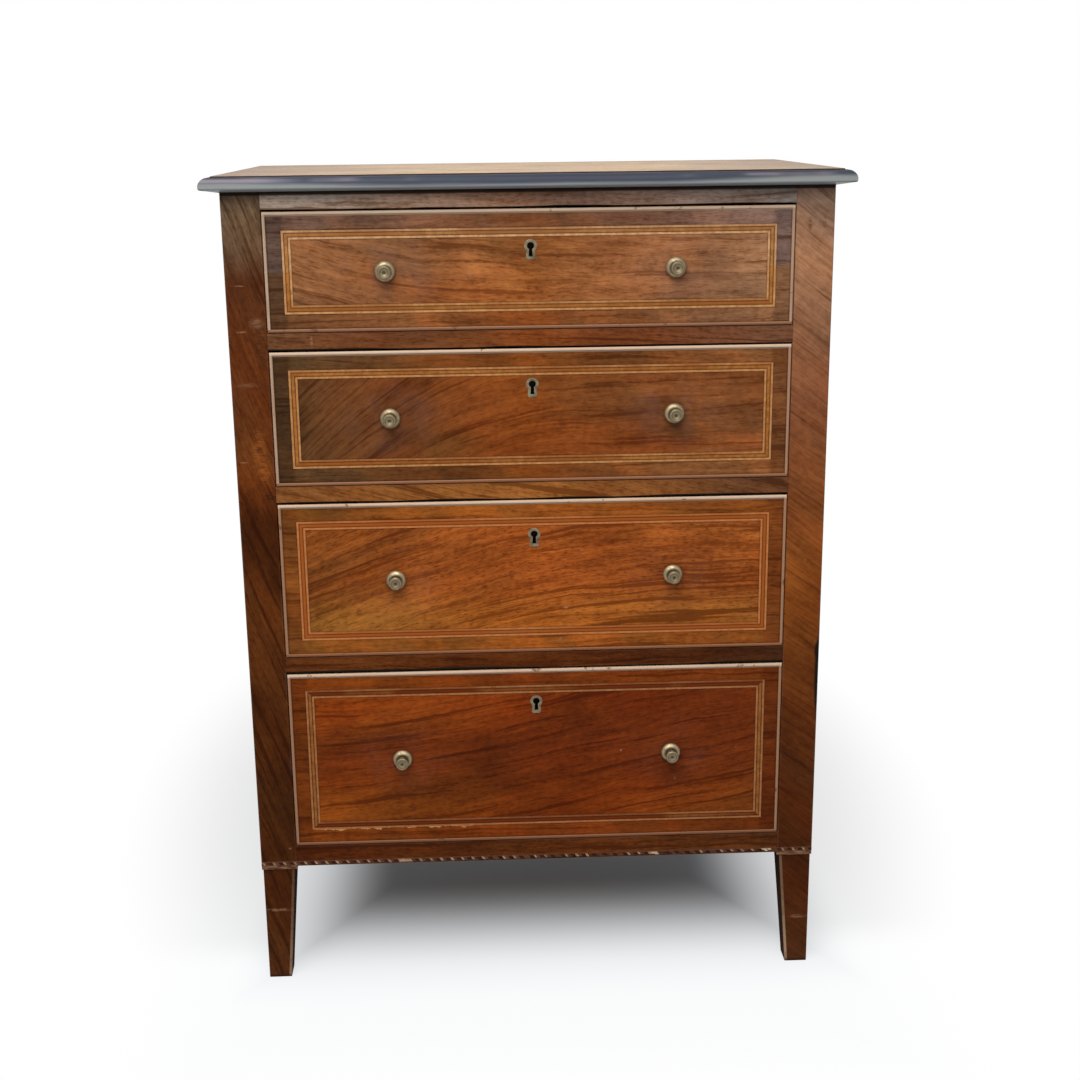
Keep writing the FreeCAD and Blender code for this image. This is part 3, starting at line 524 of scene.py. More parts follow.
# How the border's tone differs from the field's, on the level runs and down the sides
BORDER_TONES = {
    1: ((0.95, 0.88, 0.80), (0.55, 0.55, 0.55)),
    2: ((0.90, 1.00, 1.05), (0.62, 0.62, 0.62)),
    3: ((1.00, 1.14, 1.05), (0.90, 0.92, 0.90)),
    4: ((1.40, 1.60, 1.40), (1.00, 1.10, 1.00)),
}

# How a painted sky reflection greys the upper half of the top drawer's border, and pales its band
BORDER_SKY = (0.86, 1.1, 1.85)
BAND_SKY = (1.1, 1.25, 1.6)

# How the veneer's tone changes towards the foot of a front
DRAWER_FEET = {1: PLAIN, 2: PLAIN, 3: (1.05, 1.36, 1.3), 4: (1.45, 1.7, 1.3)}

# Lighter and darker stretches of each field: middle and reach in millimetres, and the factor of its colour
DRAWER_LIGHTS = {
    1: (((0, 921), (125, 90), (1.3, 1.38, 1.42)),),
    2: (((130, 715), (110, 60), (0.78, 0.72, 0.62)), ((-112, 718), (75, 32), (0.74, 0.9, 0.95))),
    3: (((240, 597), (120, 60), (1.7, 1.85, 1.9)),),
    4: (((-130, 375), (270, 55), (1.55, 1.65, 1.35)),),
}

# How much of the band's colours each drawer still shows: its core on the level runs and uprights, its lines
BAND_COLOURS = {1: (0.42, 0.85, 0.95), 2: (0.55, 0.8, 0.8), 3: (-0.05, 0.1, 0.45), 4: (0.05, 0.6, 0.5)}

# Nicks on the drawer fronts: middle, reach and strength of each, in millimetres
DRAWER_NICKS = {
    1: (((-72, 918), (3, 4), 0.2), ((130, 930), (4, 2), 0.2), ((96, 962), (2, 2), 0.3)),
    2: (((-92, 690), (3, 2), 0.25), ((110, 800), (2, 2), 0.2)),
    3: (((58, 580), (4, 2), 0.4), ((38, 505), (5, 2), 0.45), ((32, 463), (3, 3), 0.4)),
    4: (((108, 311), (2, 3), 0.35), ((178, 270), (2, 3), 0.2), ((256, 311), (3, 2), 0.2)),
}


def from_edge(finish, low, high):
    """Distances on a drawer front from its left or right edge, its top or bottom edge, and the nearest."""
    middle = (low.z + high.z) / 2
    beside = high.x - abs(finish.axes[0])
    above = high.z - middle - abs(finish.axes[2] - middle)
    return beside, above, beside.least(above)


def upper_half(finish, low, high):
    """One above the middle of a drawer front, nought below it."""
    return finish.axes[2] > (low.z + high.z) / 2


def chipped_border(finish, low, sizes):
    """Ragged losses of veneer under the left half of the lower band."""
    x, _, z = finish.axes
    drop = finish.noise((55, 1, 1), 3, 0.7, 9).span(0.42, 0.75) * (5 * MM)
    below = low.z + sizes.band_inset - z
    lost = (below > 0.0) * (below < drop)
    return lost * (x.span(-0.06, -0.12) * x.span(-0.292, -0.285) * 0.75)


def drawer_veneer(number, looks, sizes):
    """A figured field inside the band, a pieced border outside it, and bare wood behind the face."""
    low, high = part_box(drawer_node(number, "front"))
    tone = getattr(looks, drawer_body(number))
    finish = Finish("veneer_of_drawer_" + str(number), 0.42)
    x, y, z = finish.axes
    left, right = DRAWER_ENDS[number]
    drifting = drift(finish, x.ramp(low.x, high.x), tone, ((0.0, left), (0.5, PLAIN), (1.0, right)))
    finish.shade = drifting
    finish.lay(z.span((low.z + high.z) / 2, low.z + 40 * MM), DRAWER_FEET[number], "MULTIPLY")
    for centre, reach, factor in DRAWER_LIGHTS[number]:
        finish.lay(finish.near(centre, reach, 0.5, MM), factor, "MULTIPLY")
    height = grain(finish, finish.shade, "X", 17 * number, **DRAWER_FIGURES[number])
    for centre in knob_centres(number):
        mask = finish.near((centre.x, centre.z), (85 * MM, 62 * MM), 0.5)
        blotched(finish, linear(looks.patina, (0.85, 0.92, 1.05)), mask, number, PATINA_STRENGTHS[number])
        # Painted shade round the foot of each knob, set a little below its centre
        finish.lay(finish.near((centre.x, centre.z - 1 * MM), (19 * MM, 19 * MM)) * 0.5, GRIME_AND_SHADE)
    field = finish.shade

    grain(finish, drifting, "X", 9 * number, contrast=0.6, clouds=0.5)
    joined = finish.noise((15, 1, 1), 1, 0.5, number, finish.point(z * 0.9 + x, 0.0, 0.0))
    finish.lay(joined.span(0.44, 0.56) * 0.6, OLIVE, "MULTIPLY")
    beside, _, inward = from_edge(finish, low, high)
    strip = beside.span(sizes.band_inset + 6 * MM, sizes.band_inset - 2 * MM)
    finish.lay(1.0, finish.mix(strip, *BORDER_TONES[number]), "MULTIPLY")
    if number == DRAWERS[0]:
        # Painted sky reflection on the upper half of the border
        finish.lay(upper_half(finish, low, high), BORDER_SKY, "MULTIPLY")
    finish.lay(inward > sizes.band_inset, field)
    half_band = sizes.line_width + sizes.core_width / 2
    off_band = abs(inward - (sizes.band_inset + half_band)) - half_band
    finish.lay(off_band.span(1.6 * MM, 0.4 * MM) * 0.4, GRIME_AND_SHADE)
    speckled(finish, linear(looks.patina, level=1.5), number + 40, 0.80)
    scratched(finish, linear(looks.bead_light), DRAWER_NICKS[number])
    # Painted shade on the veneer along the inside of the proud bead
    finish.lay(inward.span(6.5 * MM, 3.5 * MM) * 0.5, GRIME_AND_SHADE)
    # Painted highlight: a pale strip just below the top bead widens the bead's lit top edge
    bead_highlight_strip = z.span(high.z - 5.4 * MM, high.z - 4.6 * MM)
    finish.lay(bead_highlight_strip * 0.7, linear(looks.bead_light, (0.8, 0.78, 0.76)))
    if number == DRAWERS[-1]:
        finish.lay(chipped_border(finish, low, sizes), linear(looks.line))
    face = finish.shade

    grain(finish, linear(looks.ground, level=LIGHT_GRAIN), "X", number + 60, contrast=0.8)
    # Painted shade: the ground round the keyhole is black, so the keyhole's walls look dark
    finish.lay(finish.near((0.0, high.z - KEYHOLE_DROP), (30 * MM, 30 * MM)), GRIME_AND_SHADE)
    finish.shade = finish.mix(y > low.y + VENEER, face, finish.shade)
    return finish.done(height, 0.1 * MM, polish_roughness(finish, number))


def band_inlay(number, looks, sizes):
    """Two pale lines and the satinwood between them, with dark glue lines and worn stretches."""
    low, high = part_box(drawer_node(number, "front"))
    tone = getattr(looks, drawer_body(number))
    finish = Finish("inlay_of_drawer_" + str(number), 0.45)
    level_share, upright_share, line_share = BAND_COLOURS[number]
    beside, above, inward = from_edge(finish, low, high)
    core_start = sizes.band_inset + sizes.line_width
    core_end = core_start + sizes.core_width
    fibre = finish.noise(160, 3, 0.6, number)
    stretch = finish.noise(9, 2, 0.5, number + 5).span(0.42, 0.62)
    upright = beside < above
    upper = upper_half(finish, low, high)
    core = finish.between(fibre.span(0.3, 0.7), looks.satinwood, (0.6, 0.55, 0.5))
    kept = stretch * 0.5 + (level_share - 0.25)
    kept = (upright_share - kept) * upright + kept
    core = finish.mix(kept, linear(tone, level=1.1), core)
    line = finish.between(fibre.span(0.35, 0.7), looks.line, (0.7, 0.66, 0.62))
    finish.shade = finish.mix(line_share, linear(tone, (1.5, 1.5, 1.9)), line)
    upper_line = abs(upper - (inward > core_end))
    finish.lay(upper_line * (1.0 - upright) * (0.6 - stretch * 0.45), linear(tone))
    finish.lay((inward > core_start) * (inward < core_end), core)
    for seam in (core_start, core_end):
        glue = abs(inward - seam).span(0.9 * MM, 0.3 * MM)
        finish.lay(glue * 0.8, linear(tone, (0.28, 0.22, 0.2)))
    lost = finish.noise(48, 4, 0.65, number + 8).span(0.62, 0.72)
    finish.lay(lost * 0.5, linear(tone))
    if number == DRAWERS[0]:
        # Painted sky reflection on the upper half of the band
        finish.lay(upper, BAND_SKY, "MULTIPLY")
    return finish.done(fibre, 0.1 * MM)


# How pale each bead is: along its top from wear and a painted highlight, and down its left side and down its
# right side from wear
BEAD_WEAR_AND_HIGHLIGHT = {1: (0.95, 0.75, 0.45), 2: (1.05, 0.55, 0.15), 3: (0.9, 0.0, 0.05), 4: (0.85, 0.0, 0.0)}

# How much darker each bead is along its foot, as painted shade
BEAD_FOOT_SHADE = {1: (0.62, 0.5, 0.45), 2: (0.66, 0.5, 0.4), 3: (0.58, 0.34, 0.18), 4: (0.42, 0.26, 0.17)}


def bead_wood(number, looks):
    """Cock bead, palest on its top edge, from wear and a painted highlight, and along its worn nose; darker
    along its foot and black where it is let in, both as painted shade.
    """
    low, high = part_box(drawer_node(number, "cock_bead"))
    finish = Finish("bead_of_drawer_" + str(number), 0.5)
    x, y, z = finish.axes
    upper = z.span(high.z - 4.0 * MM, high.z - 3.0 * MM)
    lower = z.span(low.z + 4.0 * MM, low.z + 3.0 * MM)
    wear = finish.noise((16, 60, 16), 4, 0.65, number).span(0.25, 0.6)
    top, left, right = BEAD_WEAR_AND_HIGHLIGHT[number]
    side = ((x < 0.0) * (left - right) + right) * (1.0 - lower)
    pale = ((top - side) * upper + side) * (wear * 0.6 + 0.5)
    finish.shade = finish.mix(pale, linear(looks.bead_dark), linear(looks.bead_light))
    # Painted highlight along the bead's top strip
    finish.lay(upper * 0.4, linear(looks.bead_light, level=1.4))
    # Painted shade along the bead's foot
    finish.lay(lower * 0.7, linear(looks.bead_dark, BEAD_FOOT_SHADE[number]))
    chips = finish.noise(60, 3, 0.6, number + 3).span(0.64, 0.70)
    finish.lay(chips * 0.7, linear(looks.bead_dark, (0.35, 0.3, 0.3)))
    # Painted shade: deeper than its nose the bead is black, so the gap round it looks dark
    shaded_depth = (upper * (-2.0 * MM) + y).span(low.y + 1.5 * MM, low.y + 2.4 * MM)
    finish.lay(shaded_depth, linear(looks.bead_dark, (0.16, 0.12, 0.1)))
    return finish.done(finish.noise(220, 2, 0.5, number + 6), 0.1 * MM)


def moulded_top(looks):
    """Dark polish on the moulded edge, tinted with a painted sky reflection and a painted highlight and with
    painted shade along its foot, and bleached, dry wood on the upper face.
    """
    finish = Finish("top", 0.32, 0.1)
    x, y, z = finish.axes
    height = grain(finish, linear(looks.bleached, level=LIGHT_GRAIN), "X", 71, contrast=0.45, clouds=0.3)
    stain = finish.noise(3.5, 4, 0.6, 72).span(0.45, 0.75)
    finish.lay(stain * 0.35, linear(looks.bleached, (0.6, 0.5, 0.42)))
    bloom = linear(looks.patina, (0.8, 0.8, 0.85))
    blotched(finish, bloom, finish.edge(TOP_LOW, TOP_HIGH, 60 * MM), 73, 0.75)
    ends = abs(x).span(0.14, 0.36)
    finish.lay(ends * 0.55, bloom)
    bare = finish.shade

    streak = finish.noise((5, 1, 160), 4, 0.6, 74, finish.point(x + y, 0.0, z))
    share = (streak - 0.5) * 0.3 + z.ramp(TOP_LOW.z, TOP_HIGH.z)
    finish.shade = finish.between(streak.span(0.3, 0.7), looks.ebony, (0.8, 0.72, 0.7))
    # Pale lower edge of the moulding: wear together with painted sky reflection
    finish.lay((ends * -0.2 + share).span(0.55, 0.2), linear(looks.edge_wear_and_sheen))
    # Painted highlight: a pale streak along the moulding's curve, strongest near the left end
    sheen = finish.noise((9, 1, 1), 2, 0.5, 75, finish.point(x, 0.0, 0.0)).span(0.5, 0.62)
    at_left = x.span(TOP_LOW.x + 130 * MM, TOP_LOW.x + 60 * MM)
    at_left = at_left * y.span(TOP_LOW.y + 40 * MM, TOP_LOW.y + 15 * MM)
    sheen = (sheen * 0.35).most(at_left * 0.6) * abs(share - 0.74).span(0.16, 0.04)
    finish.lay(sheen, linear(SHEEN_TONE))
    finish.lay(share.span(0.84, 0.96), linear(looks.ebony, (0.3, 0.15, 0.1)))
    # Painted shade along the lowest edge of the moulding, reaching higher at its ends
    at_ends = abs(x).span(TOP_HIGH.x - 12 * MM, TOP_HIGH.x - 4 * MM)
    under = at_ends * (3.4 * MM) + (TOP_LOW.z + 1.0 * MM) - z
    finish.lay(under.span(-0.6 * MM, 0.6 * MM), linear(looks.ground, level=0.25))
    finish.lay(z > TOP_HIGH.z - 0.2 * MM, bare)
    return finish.done(height, 0.12 * MM, polish_roughness(finish, 76, 0.28, 0.5))


def rope_wood(name, tone, brown, seed):
    """One of the rope's woods, which fades to brown at the upper and lower edge of the rope."""
    finish = Finish(name, 0.55)
    cloud = finish.noise(70, 4, 0.65, seed).span(0.3, 0.7)
    finish.shade = finish.between(cloud, tone, (0.5, 0.45, 0.4))
    height = ROPE_HIGH.z - ROPE_LOW.z
    middle = abs(finish.axes[2] - (ROPE_LOW.z + 0.45 * height))
    finish.lay(middle.span(0.15 * height, 0.45 * height), linear(brown))
    return finish.done(finish.noise((500, 500, 260), 2, 0.5, seed + 1), 0.15 * MM)


# Metals

METAL = {"shine": 0.5, "metal": 0.9}
KNOB_RING_SHARE = 0.42


def aged_metal(name, tone, seed, roughness, tarnish, keyhole=None):
    """Metal with a dull skin, brighter where it is handled, and painted black as shade behind a keyhole."""
    finish = Finish(name, roughness, **METAL)
    cloud = finish.noise(150, 4, 0.6, seed).span(0.3, 0.75)
    finish.shade = finish.between(cloud * tarnish, tone, (1.25, 1.25, 1.2), (0.42, 0.42, 0.46))
    if keyhole:
        height, depth = keyhole
        # Painted shade: the lock is black round the back of the keyhole, so the hole looks dark
        dark = finish.near((0.0, height), (24 * MM, 24 * MM))
        finish.lay(dark * (finish.axes[1] < depth), GRIME_AND_SHADE)
    scratch = finish.noise((900, 300, 900), 2, 0.5, seed + 1)
    return finish.done(scratch, 0.06 * MM, cloud * 0.22 + (roughness - 0.06))


def turned_brass(name, looks, centre, radius, out):
    """Brass of one knob, with painted shade in its neck and dirt in the dimple and the ring of its face."""
    finish = Finish(name, 0.3, **METAL)
    x, y, z = finish.axes
    spread = finish.far((x - centre.x) / radius, (z - centre.z) / radius)
    ahead = (centre.y - y) / out
    face = ahead > 0.9
    neck = ahead.span(0.27, 0.36) * ahead.span(0.72, 0.56)
    dimple = spread.span(0.24, 0.1) * face
    ring = abs(spread - KNOB_RING_SHARE).span(0.07, 0.02) * face
    cloud = finish.noise(260, 4, 0.6, 3).span(0.3, 0.75)
    finish.shade = finish.between(cloud * 0.5, looks.brass, (1.3, 1.3, 1.2), (0.5, 0.5, 0.5))
    finish.lay(face * 0.65, linear(looks.brass, (0.38, 0.36, 0.33)))
    # Painted shade in the neck behind the head, and dirt in the face's dimple and ring
    finish.lay(neck.most(dimple).most(ring * 0.55) * 0.85, linear(looks.brass, (0.14, 0.13, 0.1)))
    return finish.done(cloud, 0.05 * MM, cloud * 0.2 + 0.4)


# Meshes and pieces

VERT, EDGE = bmesh.types.BMVert, bmesh.types.BMEdge
TOP_SMOOTH, BRASS_SMOOTH, BEAD_SMOOTH = 25, 35, 40


def dress(node, material):
    """Gives a CAD node its finish."""
    for slot in NODES[node].material_slots:
        slot.material = material


def mesh_of(name, bm):
    mesh = bpy.data.meshes.new(name)
    bm.to_mesh(mesh)
    bm.free()
    return mesh


def placed(name, data):
    """A new object in the scene."""
    thing = bpy.data.objects.new(name, data)
    bpy.context.scene.collection.objects.link(thing)
    return thing


def piece(name, bm, body, finishes, stands_for=None, smooth_to=None):
    """Makes a finished piece that moves with a CAD body. Up to an angle in degrees it is shaded smooth."""
    mesh = mesh_of(name, bm)
    for finish in finishes:
        mesh.materials.append(finish)
    if smooth_to is not None:
        mesh.shade_smooth()
        mesh.set_sharp_from_angle(angle=math.radians(smooth_to))
    thing = placed(name, mesh)
    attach(thing, body)
    if stands_for:
        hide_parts(stands_for)


def only(kind, geom):
    return [item for item in geom if isinstance(item, kind)]


def closed_loop(bm, points):
    """Vertices joined in a ring, and the edges of the ring."""
    verts = [bm.verts.new(point) for point in points]
    return [bm.edges.new((first, second)) for first, second in zip(verts, verts[1:] + verts[:1])]


def soften(bm, edges, offset, segments):
    bmesh.ops.bevel(bm, geom=edges, offset=offset, segments=segments, profile=0.5, affect="EDGES",
                    material=-1)


def tidy_normals(bm):
    bmesh.ops.remove_doubles(bm, verts=bm.verts, dist=0.001 * MM)
    bmesh.ops.recalc_face_normals(bm, faces=bm.faces)


def merged_copy(node):
    """A copy of a CAD node's mesh with its loose triangles joined into whole faces."""
    bm = bmesh.new()
    bm.from_mesh(NODES[node].data)
    bmesh.ops.remove_doubles(bm, verts=bm.verts, dist=TOUCH)
    bmesh.ops.dissolve_limit(bm, angle_limit=math.radians(1), verts=bm.verts, edges=bm.edges)
    return bm


# Turned outline of a knob from its foot to its face, as shares of its radius and of its projection
KNOB_OUTLINE = (
    (0.0, 0.0), (0.94, 0.0), (1.0, 0.06), (1.0, 0.13), (0.94, 0.20), (0.80, 0.29), (0.66, 0.34), (0.60, 0.35),
    (0.56, 0.40), (0.54, 0.49), (0.57, 0.61), (0.64, 0.76), (0.66, 0.87), (0.645, 0.95), (0.58, 0.99),
    (0.49, 1.0), (0.42, 0.98), (0.22, 0.965), (0.15, 0.935), (0.0, 0.92),
)
SHANK_RADIUS = 2.4 * MM
NUT_WIDTH, NUT_BEVEL = 10 * MM, 0.8 * MM
SHANK_PAST_NUT = 1.0 * MM
KEYHOLE_STEPS = 40
KEYHOLE_CORNER, KEYHOLE_RIM = 1.8 * MM, 0.35 * MM
BEAD_STEPS = 8
BEAD_NOSE = 0.9
SCREW_SLOT, SCREW_RISE = 0.14, 0.24


def turned_knob(number, centre, looks, sizes):
    """A lathe-turned brass knob, its shank through the front and the nut behind it, and its brass."""
    low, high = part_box(drawer_node(number, "knobs"))
    inner_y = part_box(drawer_node(number, "front"))[1].y
    radius, out = (high.z - low.z) / 2, FRONT_Y - low.y
    bm = bmesh.new()
    verts = [bm.verts.new((radius * wide, -out * along, 0)) for wide, along in KNOB_OUTLINE]
    edges = [bm.edges.new(ends) for ends in zip(verts, verts[1:])]
    bmesh.ops.spin(bm, geom=verts + edges, cent=(0, 0, 0), axis=(0, 1, 0), angle=math.tau,
                   steps=sizes.knob_steps, use_merge=True)
    tidy_normals(bm)
    bmesh.ops.translate(bm, vec=centre, verts=bm.verts)

    to_y = Matrix.Rotation(math.radians(90), 4, "X")
    shank_place = Matrix.Translation((centre.x, (FRONT_Y + high.y) / 2, centre.z)) @ to_y
    bmesh.ops.create_cone(bm, cap_ends=True, segments=16, radius1=SHANK_RADIUS, radius2=SHANK_RADIUS,
                          depth=high.y - FRONT_Y, matrix=shank_place)
    nut_depth = high.y - inner_y - SHANK_PAST_NUT
    nut_place = Matrix.Translation((centre.x, inner_y + nut_depth / 2, centre.z))
    nut_size = Matrix.Diagonal((NUT_WIDTH, nut_depth, NUT_WIDTH, 1))
    nut = bmesh.ops.create_cube(bm, size=1.0, matrix=nut_place @ nut_size)
    soften(bm, list({edge for vert in nut["verts"] for edge in vert.link_edges}), NUT_BEVEL, 2)
    return bm, turned_brass("brass_of_" + drawer_body(number), looks, centre, radius, out)


def keyhole_points(pin, radius, half_neck, half_foot, foot_drop, y):
    """A keyhole outline: most of a circle, and a slot that widens to its foot."""
    neck = math.asin(half_neck / radius)
    points = [Vector((half_foot, y, pin.z - foot_drop)), Vector((-half_foot, y, pin.z - foot_drop))]
    for step in range(KEYHOLE_STEPS + 1):
        turn = neck + 2 * (math.pi - neck) * step / KEYHOLE_STEPS
        points.append(Vector((-radius * math.sin(turn), y, pin.z - radius * math.cos(turn))))
    return points


def escutcheon(number, sizes):
    """A brass keyhole liner with a softened rim."""
    low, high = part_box(drawer_node(number, "escutcheon"))
    pin = Vector((0, FRONT_Y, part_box(drawer_node(number, "front"))[1].z - LOCK_PIN_DROP))
    wall = high.x - sizes.key_hole_radius
    half_neck, half_foot = sizes.key_slot_width / 2, sizes.key_foot_width / 2
    outer_drop = pin.z - low.z
    hole = (pin, sizes.key_hole_radius, half_neck, half_foot, outer_drop - wall)
    rim = (pin, high.x, half_neck + wall, half_foot + wall, outer_drop)
    bm = bmesh.new()
    loops = [closed_loop(bm, keyhole_points(*outline, y)) for y in (low.y, high.y) for outline in (rim, hole)]
    front_rim, front_hole, back_rim, back_hole = loops
    for first, second in ((front_rim, front_hole), (front_rim, back_rim), (front_hole, back_hole)):
        bmesh.ops.bridge_loops(bm, edges=first + second)
    tidy_normals(bm)
    foot_corners = [edge for edge in bm.edges if all(vert.co.z < low.z + TOUCH for vert in edge.verts)
                    and abs(edge.verts[0].co.x - edge.verts[1].co.x) < TOUCH]
    soften(bm, foot_corners, KEYHOLE_CORNER, 4)
    front_edges = [edge for edge in bm.edges if all(vert.co.y < low.y + TOUCH for vert in edge.verts)
                   and edge.calc_face_angle(0.0) > 0.5]
    soften(bm, front_edges, KEYHOLE_RIM, 2)
    return bm


def bead_frame(number, sizes):
    """A bead with a round nose, mitred round a drawer front."""
    low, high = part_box(drawer_node(number, "cock_bead"))
    half = sizes.bead_width / 2
    turns = [math.pi * step / BEAD_STEPS for step in range(BEAD_STEPS + 1)]
    points = [(half - half * math.cos(turn), low.y + half * BEAD_NOSE * (1 - math.sin(turn)))
              for turn in turns]
    points += [(sizes.bead_width, high.y), (0.0, high.y)]
    bm = bmesh.new()
    loops = [closed_loop(bm, [Vector((low.x + inward, y, high.z - inward)) for inward, y in points])]
    across, down = (-1, 1, 1), (1, 1, -1)
    space = Matrix.Translation((0, 0, -(low.z + high.z) / 2))
    for factors in (across, down, across):
        geom = loops[-1] + list({vert for edge in loops[-1] for vert in edge.verts})
        copy = bmesh.ops.duplicate(bm, geom=geom)["geom"]
        bmesh.ops.scale(bm, vec=factors, space=space, verts=only(VERT, copy))
        loops.append(only(EDGE, copy))
    for here, after in zip(loops, loops[1:] + loops[:1]):
        bmesh.ops.bridge_loops(bm, edges=here + after)
    tidy_normals(bm)
    return bm


# Widths of the light, brown and dark strands, as shares of an even width
ROPE_SHARES = (0.75, 1.05, 1.2)
ROPE_FILL = 0.97
ROPE_BEVEL = 0.3 * MM

# Where along the rope strands are worn short, and where light ones have turned brown
ROPE_SHORT_FROM, ROPE_BROWN_FROM, ROPE_WORN_TO = 0.08, 0.4, 0.93

# Chips and a worn stretch that show paler wood: the middle of each, its reach to either side and its wood
ROPE_CHIPS = ((-174 * MM, 9 * MM, 0), (153 * MM, 4 * MM, 3), (300 * MM, 6 * MM, 3))


def rope_strands(sizes):
    """Slanted strands, light, brown and dark by turns, worn down by different amounts, most to the right."""
    chance = random.Random(11)
    width = ROPE_HIGH.x - ROPE_LOW.x
    height = ROPE_HIGH.z - ROPE_LOW.z
    count = len(ROPE_SHARES) * round(width / sizes.rope_pitch)
    step = width / count
    edge = ROPE_LOW.x - step
    bm = bmesh.new()
    for index in range(-1, count + 1):
        across = index / count
        wood = index % len(ROPE_SHARES)
        wide = step * ROPE_SHARES[wood]
        sunk = sizes.rope_relief * chance.random() ** 2
        worn_away = 0.12 + 0.4 * max(0.0, across - 0.35)
        is_short = ROPE_SHORT_FROM < across < ROPE_WORN_TO
        short = height * worn_away * chance.random() if is_short else 0.0
        depth = ROPE_HIGH.y - ROPE_LOW.y - sunk
        tall = height - short
        place = Matrix((
            (wide * ROPE_FILL, 0, -sizes.rope_lean, edge + wide / 2),
            (0, depth, 0, ROPE_HIGH.y - depth / 2),
            (0, 0, tall, ROPE_HIGH.z - tall / 2),
            (0, 0, 0, 1)))
        strand = bmesh.ops.create_cube(bm, size=1.0, matrix=place)
        edge += wide
        if wood == 0 and ROPE_BROWN_FROM < across < ROPE_WORN_TO and chance.random() < 0.6:
            wood = 1
        for middle, reach, paler in ROPE_CHIPS:
            if abs(edge - wide / 2 - middle) < reach:
                wood = paler
        for face in {face for vert in strand["verts"] for face in vert.link_faces}:
            face.material_index = wood
    soften(bm, bm.edges[:], ROPE_BEVEL, 1)
    for side, x in ((-1, ROPE_LOW.x), (1, ROPE_HIGH.x)):
        geom = bm.verts[:] + bm.edges[:] + bm.faces[:]
        cut = bmesh.ops.bisect_plane(bm, geom=geom, plane_co=(x, 0, 0), plane_no=(side, 0, 0),
                                     clear_outer=True)
        bmesh.ops.holes_fill(bm, edges=only(EDGE, cut["geom_cut"]), sides=0)
    bmesh.ops.recalc_face_normals(bm, faces=bm.faces)
    return bm


def screw_head(bm, place, radius, turn):
    """A slotted screw head that faces +Y."""
    half_slot, rise = radius * SCREW_SLOT, radius * SCREW_RISE
    verts = bmesh.ops.create_circle(bm, cap_ends=True, segments=20, radius=radius)["verts"]
    for side in (half_slot, -half_slot):
        faces = {face for vert in verts for face in vert.link_faces}
        geom = verts + list({edge for face in faces for edge in face.edges}) + list(faces)
        cut = bmesh.ops.bisect_plane(bm, geom=geom, plane_co=(side, 0, 0), plane_no=(1, 0, 0))
        verts = verts + only(VERT, cut["geom_cut"])
    faces = {face for vert in verts for face in vert.link_faces}
    cheeks = [face for face in faces if abs(face.calc_center_median().x) > half_slot]
    raised = only(VERT, bmesh.ops.extrude_face_region(bm, geom=cheeks)["geom"])
    bmesh.ops.translate(bm, vec=(0, 0, rise), verts=raised)
    bmesh.ops.delete(bm, geom=cheeks, context="FACES_ONLY")
    matrix = Matrix.Translation(place) @ Euler((math.radians(-90), 0, 0)).to_matrix().to_4x4()
    bmesh.ops.transform(bm, matrix=matrix @ Matrix.Rotation(turn, 4, "Z"), verts=verts + raised)


# The posts: tones up them as factors of their colour, their figure, and marks in millimetres
POSTS = {
    "left": {
        "run": "Z", "contrast": 0.7, "clouds": 1.0, "slope": 0.35, "arris": 0.5,
        # The highest stops grey the post towards its top, partly as painted sky reflection
        "stops": ((0.0, (0.8, 0.78, 0.72)), (0.13, (0.56, 0.48, 0.28)), (0.5, (0.95, 0.82, 0.52)),
                  (0.62, (0.72, 0.62, 0.42)), (0.67, (1.35, 1.2, 0.9)), (0.9, (0.8, 0.74, 0.82)),
                  (1.0, (2.5, 5.2, 10.5))),
        "pale": (((-340, 98), (26, 3), 0.3), ((-322, 186), (3, 2), 0.3), ((-346, 910), (12, 1.2), 0.35),
                 ((-345, 856), (9, 1.5), 0.35), ((-352, 698), (9, 1.2), 0.25), ((-326, 866), (12, 9), 0.25),
                 ((-340, 792), (20, 4), 0.12)),
        "dark": (((-320, 656), (13, 9), 0.7), ((-320, 840), (10, 40), 0.4)),
        "warm": (((-331, 708), (12, 42), 0.5), ((-325, 688), (9, 22), 0.5)),
    },
    "right": {
        "run": "X", "wrap": True, "contrast": 0.3, "clouds": 0.6, "slope": 0.75, "ripple": 0.12,
        "arris": 0.85,
        # The highest stops grey the post towards its top, partly as painted sky reflection
        "stops": ((0.0, (0.38, 0.38, 0.36)), (0.12, (0.36, 0.27, 0.16)), (0.3, (0.42, 0.34, 0.23)),
                  (0.54, (1.2, 1.1, 0.65)), (0.75, (0.95, 1.05, 1.5)), (0.92, (1.85, 2.85, 4.9)),
                  (1.0, (1.6, 3.1, 7.0))),
        "pale": (((346, 66), (17, 4), 0.3), ((338, 560), (2, 2), 0.25)),
        "dark": (((331, 972), (3, 11), 0.5), ((348, 975), (3, 10), 0.4)),
        # Painted shade: a black streak down the post's outer edge
        "edge_shade": (((360, 441), (8, 17), 1.8), ((360, 402), (6, 74), 1.8)),
    },
}
PANEL_STOPS = ((0.0, (0.8, 0.8, 0.8)), (1.0, (1.15, 1.2, 1.3)))

